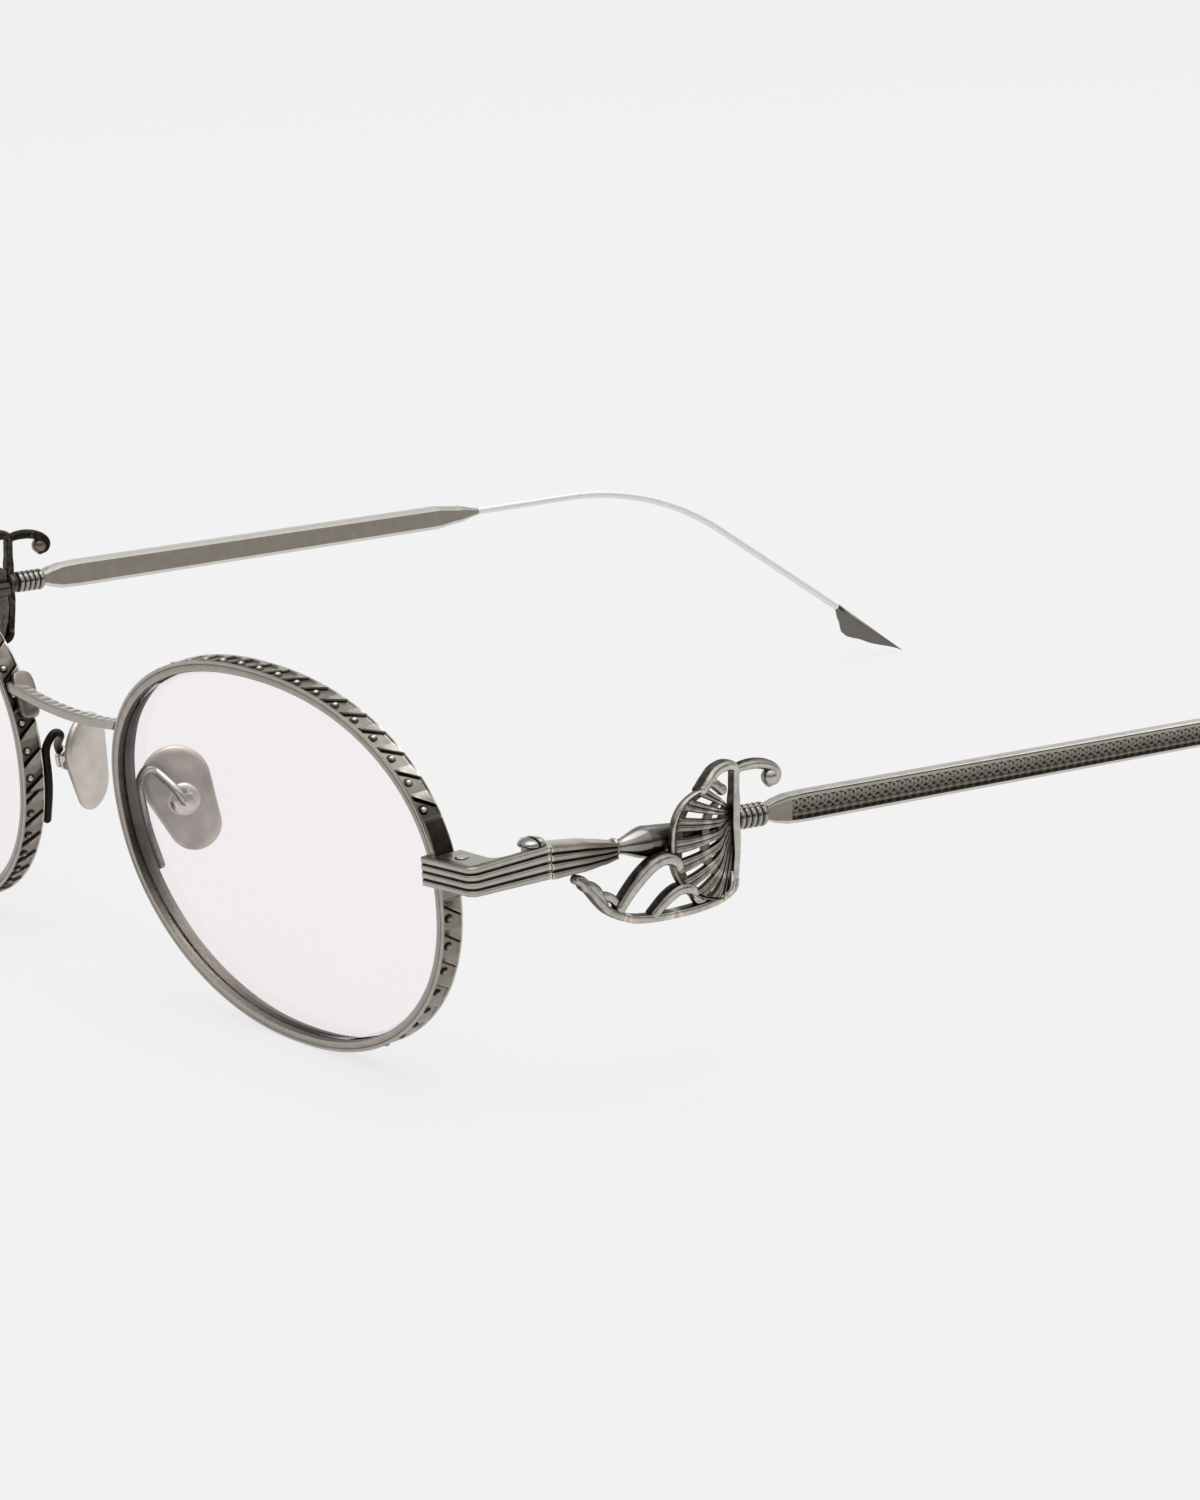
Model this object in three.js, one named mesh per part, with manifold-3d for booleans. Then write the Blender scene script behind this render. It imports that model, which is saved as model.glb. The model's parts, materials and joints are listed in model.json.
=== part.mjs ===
// Oval metal sunglasses whose temples are little sabres: ribbed end pieces, a turned grip,
// a pierced shell guard, a flat blade and a thin ear wire with a spear-shaped tip.
// Millimetres, +Z up. The wearer looks along -Y and the temples run back along +Y.
import * as THREE from "three";
import { mergeVertices } from "three/addons/utils/BufferGeometryUtils.js";
import Module from "manifold-3d";

const wasm = await Module();
wasm.setup();
const rad = THREE.MathUtils.degToRad;

// Rims and lenses
const rimWidth = 48;
const rimHeight = 34.5;
const rimSquareness = 2.16; // 2 is an ellipse
const rimBrowWiden = 0.07; // how much wider the ring is above its middle
const rimDepth = 2.2;
const rimThick = 1.0;
const rimChamfer = 0.12;
const rimSplit = 0.4;
const grooveDepth = 0.45;
const grooveWidth = 0.95;
const lensThick = 1.4;
const lensCrown = 0.5;
const lensClear = 0.25;
const faceTilt = rad(7.9); // the top of the front leans forward
const faceWrap = rad(3.1); // the outer side of each rim sweeps back

// Bridge
const bridgeGap = 16.4; // between the two rims at mid height
const bridgeLevel = 7.7;
const bridgeSag = 0.7;
const bridgeTall = 0.9;
const bridgeDeep = 1.5;

// End piece and hinge
const endLevel = 3.6; // above the middle of the rim
const endWidth = 6.1;
const endDepth = 9.05;
const endProud = 1.25; // how far its front wall stands before the rim
const endOverlap = 0.65;
const endTallFront = 2.5;
const endTallHinge = 2.95;
const endSweep = rad(8.8);
const endCornerRadius = 1.05;
const endArmThick = 0.65;
const ribCount = 4;
const ribGroove = 0.24;
const ribGrooveDepth = 0.26;
const hingePitch = rad(4.5);
const hingeInset = 1.4; // from the outer side to the hinge axis
const hingeLead = 0.95; // from the hinge axis back to the seam
const hingeBossRadius = 0.9;
const tongueRadius = 0.8;
const tongueThick = 0.8;
const hingeScrewRadius = 0.4;
const hingeHeadRadius = 1.2;
const hingeHeadTall = 0.55;
const rimScrewRadius = 0.5;
const rimScrewHead = 0.75;
const rimScrewHeadTall = 0.35;
const screwSlot = 0.28;

// Temple
const templeSplay = rad(0.93);
const templeInset = 0.17; // the temple runs this far inside the hinge axis
const blockLength = 7.0;
const blockWidth = 2.4;
const blockEndTall = 1.4;
const blockEndWidth = 1.9;
const blockDrop = 0.04; // its end lies this much lower than its start
const gripLength = 11.8;
const gripNeckRadius = 0.66;
const gripBellyRadius = 1.42;
const gripStemRadius = 1.05;
const gripRootRadius = 0.8; // where it meets the guard
const gripRise = 0.3; // over its length
const hiltRise = 0.75; // the blade lies this much higher than the hinge block
const crossbarDeep = 0.8;
const crossbarWide = 0.95;
const crossbarUp = 4.7;
const crossbarDown = 5.6;
const crossbarOut = 0.5; // from the temple's middle plane
const crossbarBow = 0.2; // its lower half bends back by this much
const ferruleLength = 3.0;
const ferruleRadius = 1.08;
const ferruleRings = 5;
const bladeLength = 54.5;
const bladeTall = 2.95;
const bladeTallEnd = 2.5;
const bladeThick = 1.3;
const bladeChamfer = 0.35;
const bladePitch = rad(0.75);
const panelMargin = 0.4;
const panelDepth = 0.2;
const panelStart = 3.4;
const wireRadius = 0.38;
const wireStraight = 12;
const wireBendRadius = 38;
const wireDrop = rad(33.5);
const tipLength = 11.4;
const tipWidth = 2.5;
const tipThick = 1.0;

// Shell guard
const shellWide = 7.05; // from the crossbar forwards
const shellTall = 5.2; // up and down from its own middle
const shellDrop = 1.32; // its middle below the hub
const shellSquareTop = 3; // 2 is an ellipse
const shellSquareLow = 2.4;
const shellThick = 0.45;
const shellBulge = 0.45;
const shellRibs = 9;
const shellRibRaise = 0.22;
const scrollRadius = 0.46;
const bowRadius = 0.38;
const hookRadius = 0.56;
const ballRadius = 0.82;

// Nose pads
const padLength = 10;
const padWidth = 6.4;
const padThick = 1.2;
const padDome = 0.35;
const padBossRadius = 1.5;
const padBossTall = 0.4;
const padTabThick = 0.6;
const padTabHalf = 0.55;
const padBoxWall = 0.5;
const padBoxGap = 0.15;
const padScrewRadius = 0.25;
const padSetBack = 4.2; // the pad's pivot behind the rim
const padSetIn = 1.8; // the pivot inside the rim's nasal edge, towards the lens
const padLevel = -0.13;
const padFlare = rad(14); // the pads' lower ends stand apart
const padSplay = rad(28); // their rear edges stand apart
const padLean = rad(19); // their lower ends reach back
const armRadius = 0.4;
const armFootLevel = -6.0;

const solderGap = 0.1; // between soldered faces
const fitGap = 0.15; // between faces that move or are screwed together
const roundSides = 16;

// Materials
const agedSilver = new THREE.MeshStandardMaterial({ color: 0x81776d, roughness: 0.38, metalness: 1 });
const darkSilver = new THREE.MeshStandardMaterial({ color: 0x5d564f, roughness: 0.42, metalness: 1 });
const brightWire = new THREE.MeshStandardMaterial({ color: 0xd4d1cb, roughness: 0.2, metalness: 1 });
const padTitanium = new THREE.MeshStandardMaterial({ color: 0xb9b2a8, roughness: 0.5, metalness: 1 });
const paleLens = new THREE.MeshStandardMaterial({
  color: 0xf4f0f1, roughness: 0.05, metalness: 0, transparent: true, opacity: 0.25,
});

// A closed solid from any geometry, for joining and cutting.
function solidOf(geometry) {
  const bare = geometry.clone();
  bare.deleteAttribute("normal");
  bare.deleteAttribute("uv");
  const merged = mergeVertices(bare, 1e-4);
  return new wasm.Manifold(new wasm.Mesh({
    numProp: 3,
    vertProperties: new Float32Array(merged.attributes.position.array),
    triVerts: new Uint32Array(merged.index.array),
  }));
}

function geometryOf(solid) {
  const mesh = solid.getMesh();
  return new THREE.BufferGeometry()
    .setAttribute("position", new THREE.BufferAttribute(new Float32Array(mesh.vertProperties), 3))
    .setIndex(new THREE.BufferAttribute(new Uint32Array(mesh.triVerts), 1));
}

function joined(...pieces) {
  return geometryOf(pieces.map(solidOf).reduce((sum, piece) => sum.add(piece)));
}

function cutBy(body, ...tools) {
  return geometryOf(tools.map(solidOf).reduce((rest, tool) => rest.subtract(tool), solidOf(body)));
}

// Rings of equally many points, skinned in order. An open skin gets a fan over each end.
function skinned(rings, closedLoop = false) {
  const around = rings[0].length;
  const points = rings.flat();
  const faces = [];
  const spans = closedLoop ? rings.length : rings.length - 1;
  for (let i = 0; i < spans; i += 1) {
    const a = i * around;
    const b = ((i + 1) % rings.length) * around;
    for (let j = 0; j < around; j += 1) {
      const k = (j + 1) % around;
      faces.push(a + j, a + k, b + j, a + k, b + k, b + j);
    }
  }
  if (!closedLoop) {
    capWith(points, faces, rings[0], 0, true);
    capWith(points, faces, rings.at(-1), (rings.length - 1) * around, false);
  }
  return surface(points, faces);
}

// Points and faces as a geometry whose faces all look outwards.
function surface(points, faces) {
  let volume = 0;
  for (let i = 0; i < faces.length; i += 3) {
    const [a, b, c] = [points[faces[i]], points[faces[i + 1]], points[faces[i + 2]]];
    volume += a.dot(new THREE.Vector3().crossVectors(b, c));
  }
  const positions = new Float32Array(points.flatMap((p) => [p.x, p.y, p.z]));
  return new THREE.BufferGeometry()
    .setAttribute("position", new THREE.BufferAttribute(positions, 3))
    .setIndex(volume < 0 ? faces.reverse() : faces);
}

function capWith(points, faces, ring, first, isStart) {
  const middle = ring.reduce((sum, p) => sum.add(p), new THREE.Vector3()).divideScalar(ring.length);
  const centre = points.push(middle) - 1;
  for (let j = 0; j < ring.length; j += 1) {
    const k = (j + 1) % ring.length;
    faces.push(centre, first + (isStart ? k : j), first + (isStart ? j : k));
  }
}

// A round bar along a curve through points.
function bar(points, radius, steps, sides = 8) {
  const section = new THREE.Shape();
  for (let i = 0; i < sides; i += 1) {
    const turn = (2 * Math.PI * (i + 0.5)) / sides;
    const spot = [radius * Math.cos(turn), radius * Math.sin(turn)];
    if (i === 0) section.moveTo(...spot);
    else section.lineTo(...spot);
  }
  section.closePath();
  const path = new THREE.CatmullRomCurve3(points, false, "centripetal");
  return new THREE.ExtrudeGeometry(section, { steps, extrudePath: path });
}

function plate(shape, low, high, curveSegments = 10) {
  const made = new THREE.ExtrudeGeometry(shape, {
    depth: high - low, bevelEnabled: false, curveSegments,
  });
  return made.translate(0, 0, low);
}

function block(width, depth, height, x, y, z) {
  return new THREE.BoxGeometry(width, depth, height).translate(x, y, z);
}

// A round pin along Z between two heights.
function pinZ(radius, low, high, x = 0, y = 0, sides = 12) {
  return new THREE.CylinderGeometry(radius, radius, high - low, sides)
    .rotateX(Math.PI / 2)
    .translate(x, y, (low + high) / 2);
}

function v3(x, y, z) {
  return new THREE.Vector3(x, y, z);
}

// Rim outline: a squared ellipse, a little wider above its middle.
const rimHalfWidth = rimWidth / 2;
const rimHalfHeight = rimHeight / 2;

function outline(angle, grow) {
  const c = Math.cos(angle);
  const s = Math.sin(angle);
  const power = 2 / rimSquareness;
  const across = (rimHalfWidth + grow) * Math.sign(c) * Math.abs(c) ** power;
  const up = (rimHalfHeight + grow) * Math.sign(s) * Math.abs(s) ** power;
  return new THREE.Vector2(across * (1 + (rimBrowWiden * up) / rimHalfHeight), up);
}

// The outline's angle on its outer side at a height above the middle.
function angleAt(level) {
  const share = Math.abs(level / rimHalfHeight) ** (rimSquareness / 2);
  return Math.sign(level) * Math.asin(share);
}

const rimCentre = bridgeGap / 2 + rimHalfWidth * Math.cos(faceWrap);
const rimPlace = new THREE.Matrix4()
  .makeRotationFromEuler(new THREE.Euler(faceTilt, 0, faceWrap))
  .setPosition(rimCentre, 0, 0);

function rimPoint(angle, grow, depth) {
  const flat = outline(angle, grow);
  return v3(flat.x, depth, flat.y).applyMatrix4(rimPlace);
}

function rim() {
  const inner = -rimThick;
  const floor = grooveDepth - rimThick;
  const mid = rimDepth / 2;
  const profile = [
    [0, rimChamfer], [0, rimDepth - rimChamfer], [-rimChamfer, rimDepth],
    [inner, rimDepth], [inner, mid + grooveWidth / 2], [floor, mid], [inner, mid - grooveWidth / 2],
    [inner, 0], [-rimChamfer, 0],
  ];
  const steps = 58;
  const start = angleAt(endLevel + rimSplit / 2);
  const end = angleAt(endLevel - rimSplit / 2) + 2 * Math.PI;
  const rings = [];
  for (let i = 0; i <= steps; i += 1) {
    const angle = start + ((end - start) * i) / steps;
    rings.push(profile.map(([grow, depth]) => {
      const flat = outline(angle, grow);
      return v3(flat.x, depth, flat.y);
    }));
  }
  return skinned(rings);
}

function lens() {
  const edge = grooveDepth - rimThick - lensClear;
  const shoulder = -rimThick - lensClear;
  const mid = rimDepth / 2;
  const steps = 44;
  const ring = (share, grow, depth) => Array.from({ length: steps }, (_, i) => {
    const flat = outline((2 * Math.PI * i) / steps, grow).multiplyScalar(share);
    return v3(flat.x, mid + depth, flat.y);
  });
  const crown = (share) => -lensCrown * (1 - share * share);
  const half = lensThick / 2;
  const inside = 0.5;
  return skinned([
    ring(inside, shoulder, crown(inside) - half), ring(1, shoulder, -half), ring(1, edge, 0),
    ring(1, shoulder, half), ring(inside, shoulder, crown(inside) + half),
  ]);
}

// The bridge is a bar of oblong section that sags in the middle and spreads into the rims.
function bridge() {
  const reach = rimPoint(Math.PI - angleAt(bridgeLevel), 0, rimDepth / 2);
  const steps = 16;
  const rings = [];
  for (let i = 0; i <= steps; i += 1) {
    const share = (2 * i) / steps - 1;
    const spread = 1 + 0.1 * share ** 6;
    const z = reach.z + bridgeSag * (share * share - 1);
    const y = reach.y;
    rings.push(roundedOblong(bridgeDeep * (1 + 0.25 * share ** 6), bridgeTall * spread, 0.2)
      .map(([dy, dz]) => v3(share * nasalEdge(y + dy, z + dz), y + dy, z + dz)));
  }
  return skinned(rings);
}

// How far out the bridge may reach at a place before it meets the rim.
function nasalEdge(y, z) {
  const level = z * Math.cos(faceTilt) - y * Math.sin(faceTilt);
  return rimPoint(Math.PI - angleAt(level), 0, rimDepth).x - solderGap;
}

// Corner points of an oblong with cut corners, counter-clockwise.
function roundedOblong(width, height, corner) {
  const w = width / 2;
  const h = height / 2;
  return [
    [w, -h + corner], [w, h - corner], [w - corner, h], [-w + corner, h],
    [-w, h - corner], [-w, -h + corner], [-w + corner, -h], [w - corner, -h],
  ];
}

// The end piece stands on the hinge axis: x outwards, y back, z along the axis.
const endRim = rimPoint(angleAt(endLevel), 0, 0);
const hingeAt = v3(
  endRim.x - endOverlap + endWidth - hingeInset,
  endRim.y - endProud + endDepth - hingeLead,
  endRim.z + (endDepth - hingeLead) * Math.tan(hingePitch),
);
const endStart = new THREE.Vector2(hingeInset - endWidth, hingeLead - endDepth);
const endHalf = endTallHinge / 2;
const endWall = endProud - 2 * fitGap;
const rimOuterX = endStart.x + endOverlap;
const rimBackY = endStart.y + endProud + rimDepth;

// Outer face of ribs and grooves from the bottom to the top, as [inward, height] pairs.
function ribbedFace(half) {
  const pitch = (2 * half + ribGroove) / ribCount;
  const face = [];
  for (let i = 0; i < ribCount; i += 1) {
    const low = -half + i * pitch;
    const high = low + pitch - ribGroove;
    face.push([0, low], [0, high]);
    if (i < ribCount - 1) face.push([ribGrooveDepth, high + ribGroove / 2]);
  }
  return face;
}

// A ribbed wall along the outside of the end piece, from its front end round the corner to the seam.
function endWallSkin() {
  const along = new THREE.Vector2(Math.cos(endSweep), Math.sin(endSweep));
  const corner = new THREE.Vector2(hingeInset, endStart.y + endWidth * Math.tan(endSweep));
  const turn = Math.PI / 2 - endSweep;
  const tangent = endCornerRadius * Math.tan(turn / 2);
  const stations = [{ at: endStart, angle: endSweep, thick: endWall }];
  const steps = 4;
  const from = corner.clone().addScaledVector(along, -tangent);
  const centre = from.clone().add(new THREE.Vector2(-along.y, along.x).multiplyScalar(endCornerRadius));
  for (let i = 0; i <= steps; i += 1) {
    const angle = endSweep + (turn * i) / steps;
    const at = centre.clone().add(
      new THREE.Vector2(Math.sin(angle), -Math.cos(angle)).multiplyScalar(endCornerRadius));
    stations.push({ at, angle, thick: endArmThick });
  }
  stations.push({ at: new THREE.Vector2(hingeInset, hingeLead), angle: Math.PI / 2, thick: endArmThick });
  const face = ribbedFace(endHalf);
  return skinned(stations.map(({ at, angle, thick }) => {
    const section = [...face, [thick, endHalf], [thick, -endHalf]];
    return section.map(([inward, z]) => v3(
      at.x - inward * Math.sin(angle), at.y + inward * Math.cos(angle), z));
  }));
}

const screwSpot = new THREE.Vector2((rimOuterX + 0.4) / 2, rimBackY - 1.15);
const scoopY = rimBackY + 0.25;
const armInnerX = hingeInset - endArmThick;

// Plan of the solid part behind the wall: beside the rim, then scooped out to the thin arm.
function endShoulderPlan() {
  const side = rimOuterX + 2 * fitGap;
  const wallBack = endStart.y + 0.5 * endWall;
  return new THREE.Shape()
    .moveTo(side, wallBack)
    .lineTo(armInnerX + 0.1, wallBack + (armInnerX + 0.1 - side) * Math.tan(endSweep) + 0.5)
    .lineTo(armInnerX + 0.1, scoopY + 1.6)
    .lineTo(armInnerX, scoopY + 1.6)
    .quadraticCurveTo(armInnerX, scoopY, armInnerX - 1.6, scoopY)
    .lineTo(side, rimBackY)
    .closePath();
}

function endPiece() {
  const boss = pinZ(hingeBossRadius, -endHalf, endHalf, 0, 0, roundSides);
  const tail = block(armInnerX + 0.3, hingeLead + hingeBossRadius, 2 * endHalf,
    (armInnerX + 0.3) / 2, (hingeLead - hingeBossRadius) / 2, 0);
  const body = joined(endWallSkin(), plate(endShoulderPlan(), fitGap, endHalf), boss, tail);
  const room = tongueRadius + fitGap;
  const slotHalf = tongueThick / 2 + fitGap;
  const far = 3 * hingeBossRadius;
  const slot = [
    pinZ(room, -slotHalf, slotHalf),
    block(room + far, far, 2 * slotHalf, (room - far) / 2, far / 2, 0),
    block(far, room + far, 2 * slotHalf, -far / 2, (far - room) / 2, 0),
  ];
  const bores = [
    pinZ(hingeScrewRadius + fitGap, -2 * endHalf, 2 * endHalf),
    pinZ(rimScrewRadius + fitGap, -2 * endHalf, 2 * endHalf, screwSpot.x, screwSpot.y),
  ];
  return tapered(cutBy(body, ...slot, ...bores));
}

// The end piece is lower at the front than at the hinge: heights are scaled by place.
function tapered(geometry) {
  const places = geometry.attributes.position;
  for (let i = 0; i < places.count; i += 1) {
    places.setZ(i, places.getZ(i) * heightShare(places.getY(i)));
  }
  return geometry;
}

function heightShare(y) {
  const share = (y - endStart.y) / endDepth;
  return (endTallFront + (endTallHinge - endTallFront) * share) / endTallHinge;
}

// The lower block that closes the split rim, held up against the end piece by the rim screw.
function closingBlock() {
  const left = rimOuterX + 2 * fitGap;
  const right = armInnerX - 1.6;
  const front = endStart.y + endProud + 0.45;
  const plan = new THREE.Shape()
    .moveTo(left, front)
    .lineTo(right, front)
    .lineTo(right, rimBackY - 0.4)
    .quadraticCurveTo(right, rimBackY, right - 0.4, rimBackY)
    .lineTo(left, rimBackY)
    .closePath();
  const body = plate(plan, -endHalf, -fitGap, 4);
  const bore = pinZ(rimScrewRadius + fitGap, -2 * endHalf, 0, screwSpot.x, screwSpot.y);
  return tapered(cutBy(body, bore));
}

function rimScrew() {
  const top = endHalf * heightShare(screwSpot.y);
  const under = -top - solderGap;
  const turned = new THREE.LatheGeometry([
    new THREE.Vector2(0, under - rimScrewHeadTall),
    new THREE.Vector2(rimScrewHead, under - rimScrewHeadTall),
    new THREE.Vector2(rimScrewHead, under),
    new THREE.Vector2(rimScrewRadius, under),
    new THREE.Vector2(rimScrewRadius, top),
    new THREE.Vector2(0, top),
  ], roundSides).rotateX(Math.PI / 2);
  const slot = block(screwSlot, 4 * rimScrewHead, screwSlot, 0, 0, under - rimScrewHeadTall);
  return cutBy(turned, slot).translate(screwSpot.x, screwSpot.y, 0);
}

function hingeScrew() {
  const seat = endHalf * heightShare(0) + solderGap;
  const profile = [new THREE.Vector2(0, -seat), new THREE.Vector2(hingeScrewRadius, -seat),
    new THREE.Vector2(hingeScrewRadius, seat)];
  const steps = 3;
  for (let i = 0; i <= steps; i += 1) {
    const turn = (Math.PI / 2) * (i / steps);
    profile.push(new THREE.Vector2(
      hingeHeadRadius * Math.cos(turn), seat + 0.12 + (hingeHeadTall - 0.12) * Math.sin(turn)));
  }
  profile.splice(3, 0, new THREE.Vector2(hingeHeadRadius, seat));
  profile.at(-1).x = 0;
  const turned = new THREE.LatheGeometry(profile, roundSides).rotateX(Math.PI / 2);
  const slot = block(screwSlot, 4 * hingeHeadRadius, screwSlot, 0, 0, seat + hingeHeadTall);
  return cutBy(turned, slot.rotateZ(rad(35)));
}

// Front block of the temple: the ribs run on from the end piece and the block narrows to the grip.
const seamY = hingeLead + solderGap;
const blockEndY = seamY + blockLength;

function hingeBlock() {
  const stations = [
    { y: seamY, half: endHalf, mid: 0, wide: blockWidth, lean: Math.tan(hingePitch) },
    { y: seamY + 0.5 * blockLength, half: 0.84 * endHalf, mid: -0.5 * blockDrop, wide: blockWidth, lean: 0 },
    { y: seamY + 0.8 * blockLength, half: 0.64 * endHalf, mid: -blockDrop, wide: 0.93 * blockWidth, lean: 0 },
    { y: blockEndY, half: blockEndTall / 2, mid: -blockDrop, wide: blockEndWidth, lean: 0 },
  ];
  const body = skinned(stations.map(({ y, half, mid, wide, lean }) => {
    const section = [...ribbedFace(half), [wide, half], [wide, -half]];
    const outer = hingeInset - (blockWidth - wide) / 2;
    return section.map(([inward, z]) => v3(outer - inward, y - lean * z, mid + z));
  }));
  const reach = seamY + 1;
  const tongue = joined(
    pinZ(tongueRadius, -tongueThick / 2, tongueThick / 2),
    block(2 * tongueRadius, reach, tongueThick, 0, reach / 2, 0),
  );
  const bore = pinZ(hingeScrewRadius + fitGap, -endHalf, endHalf);
  return joined(body, cutBy(tongue, bore).rotateX(hingePitch));
}

// Turned grip, drawn as radius against distance behind the block.
const gripStart = blockEndY + 2 * solderGap;
const gripEnd = gripStart + gripLength;
const gripTilt = Math.atan2(gripRise, gripLength);

function grip() {
  const belly = 0.28 * gripLength;
  const lip = 0.9 * gripNeckRadius + 0.25;
  const curve = new THREE.SplineCurve([
    new THREE.Vector2(gripNeckRadius, 0.55),
    new THREE.Vector2(0.5 * (gripNeckRadius + gripBellyRadius), 0.6 * belly),
    new THREE.Vector2(gripBellyRadius, belly),
    new THREE.Vector2(0.5 * (gripBellyRadius + gripStemRadius) - 0.05, 1.45 * belly),
    new THREE.Vector2(gripStemRadius, 2 * belly),
  ]);
  const profile = [
    new THREE.Vector2(0, 0), new THREE.Vector2(lip, 0), new THREE.Vector2(lip, 0.3),
    ...curve.getPoints(8),
    new THREE.Vector2(gripRootRadius, gripLength), new THREE.Vector2(0, gripLength),
  ];
  return new THREE.LatheGeometry(profile, roundSides);
}

// Crossbar with its hub on the temple axis, in the guard's own frame: origin at the hub's middle.
const shellLift = gripRootRadius + fitGap + shellThick; // the shell stays outside the grip
const hubRadius = shellLift - 0.4 * shellThick;

function crossbar() {
  const half = crossbarDown / 2;
  const post = skinned([-crossbarDown, -half, -0.5 * half, 0.5 * half, crossbarUp].map((z) => {
    const slim = Math.abs(z) < half ? 1 : 0.85;
    const bow = crossbarBow * Math.max(0, 1 - Math.abs(z / half + 1));
    return roundedOblong(crossbarWide * slim, 0.8 * crossbarDeep * slim, 0.12)
      .map(([x, y]) => v3(crossbarOut + x, bow + y, z));
  }));
  const hub = new THREE.CylinderGeometry(hubRadius, hubRadius, crossbarDeep, roundSides);
  return joined(post, hub);
}

// The shell's outer edge at a turn up from straight forwards: a half oval, squarer above than below.
const fanTop = rad(50);
const fanLow = rad(-79);

function shellEdge(turn) {
  const power = turn > 0 ? shellSquareTop : shellSquareLow;
  const c = Math.cos(turn);
  const s = Math.sin(turn);
  const far = ((c / shellWide) ** power + (Math.abs(s) / shellTall) ** power) ** (-1 / power);
  return new THREE.Vector2(-0.06 * shellWide - far * c, far * s - shellDrop);
}

// A rib leaves the crossbar near the hub and bends forwards to the edge. Reach runs from 0 to 1.
function shellPoint(reach, turn, raise, depth) {
  const edge = shellEdge(turn);
  const root = new THREE.Vector2(0, 0.5 * hubRadius * (0.5 + 1.4 * Math.sin(turn)));
  const bend = new THREE.Vector2(0.33 * edge.x, 0.62 * edge.y - 0.4 * hubRadius);
  const at = new THREE.QuadraticBezierCurve(root, bend, edge).getPoint(reach);
  const bulge = shellBulge * Math.sin(Math.PI * 0.65 * reach);
  return v3(shellLift + bulge + raise * Math.min(1, 4 * reach * reach + 0.4) - depth, at.x, at.y);
}

// The shell's cells lie on a grid of reach and turn. The ribs stand proud, and each gap between two
// ribs is pierced in two rows.
function shellGrid() {
  const reaches = [0.07, 0.28, 0.4, 0.54, 0.64, 0.89, 1];
  const pitch = (fanLow - fanTop) / (shellRibs - 1);
  const turns = [];
  for (let i = 0; i < shellRibs; i += 1) {
    const centre = fanTop + i * pitch;
    turns.push({ at: centre - 0.3 * pitch, raise: 0 });
    turns.push({ at: centre, raise: shellRibRaise });
    turns.push({ at: centre + 0.3 * pitch, raise: 0 });
  }
  return { reaches, turns };
}

function shell() {
  const { reaches, turns } = shellGrid();
  const rows = reaches.length;
  const columns = turns.length;
  const outer = turns.flatMap(({ at, raise }) => reaches.map((r) => shellPoint(r, at, raise, 0)));
  const inner = turns.flatMap(({ at }) => reaches.map((r) => shellPoint(r, at, 0, shellThick)));
  const isOpen = (column, row) => column % 3 === 2 && (row === 2 || row === 4);
  const isSolid = (column, row) => column >= 0 && row >= 0 && column < columns - 1
    && row < rows - 1 && !isOpen(column, row);
  const faces = [];
  const quad = (a, b, c, d) => faces.push(a, b, c, a, c, d);
  const deep = outer.length;
  for (let column = 0; column < columns - 1; column += 1) {
    for (let row = 0; row < rows - 1; row += 1) {
      if (!isSolid(column, row)) continue;
      const a = column * rows + row;
      const b = a + rows;
      quad(a, a + 1, b + 1, b);
      quad(deep + a, deep + b, deep + b + 1, deep + a + 1);
      if (!isSolid(column - 1, row)) quad(a, deep + a, deep + a + 1, a + 1);
      if (!isSolid(column + 1, row)) quad(b, b + 1, deep + b + 1, deep + b);
      if (!isSolid(column, row - 1)) quad(a, b, deep + b, deep + a);
      if (!isSolid(column, row + 1)) quad(a + 1, deep + a + 1, deep + b + 1, b + 1);
    }
  }
  return surface([...outer, ...inner], faces);
}

// Scrolls, bow and hooks are round bars. Their points are shares: [back in shell widths,
// up in crossbar lengths, out in shell lifts] from the hub's middle.
function guardBar(spots, tall, radius, steps) {
  return bar(spots.map(([back, up, out]) => v3(
    crossbarOut + out * shellLift, back * shellWide, up * tall)), radius, steps, 6);
}

function guardScrolls() {
  const front = guardBar([
    [0.021, 0.957, 0], [-0.062, 1.043, 0], [-0.176, 1.057, 0], [-0.312, 0.989, 0.036],
    [-0.433, 0.862, 0.214], [-0.532, 0.777, 0.464], [-0.61, 0.723, 0.679],
  ], crossbarUp, scrollRadius, 11);
  const volute = guardBar([
    [-0.433, 0.894, 0.286], [-0.376, 0.798, 0.464], [-0.305, 0.702, 0.571], [-0.262, 0.638, 0.607],
  ], crossbarUp, 0.85 * scrollRadius, 4);
  const rear = guardBar([
    [-0.007, 0.936, 0], [0.085, 0.983, 0], [0.199, 1.004, 0], [0.326, 1, 0], [0.461, 0.957, 0],
    [0.574, 0.872, 0], [0.631, 0.755, 0],
  ], crossbarUp, 0.9 * scrollRadius, 11);
  const ball = new THREE.SphereGeometry(ballRadius, 10, 7)
    .translate(crossbarOut, 0.535 * shellWide, 0.715 * crossbarUp);
  return joined(front, volute, rear, ball);
}

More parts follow.
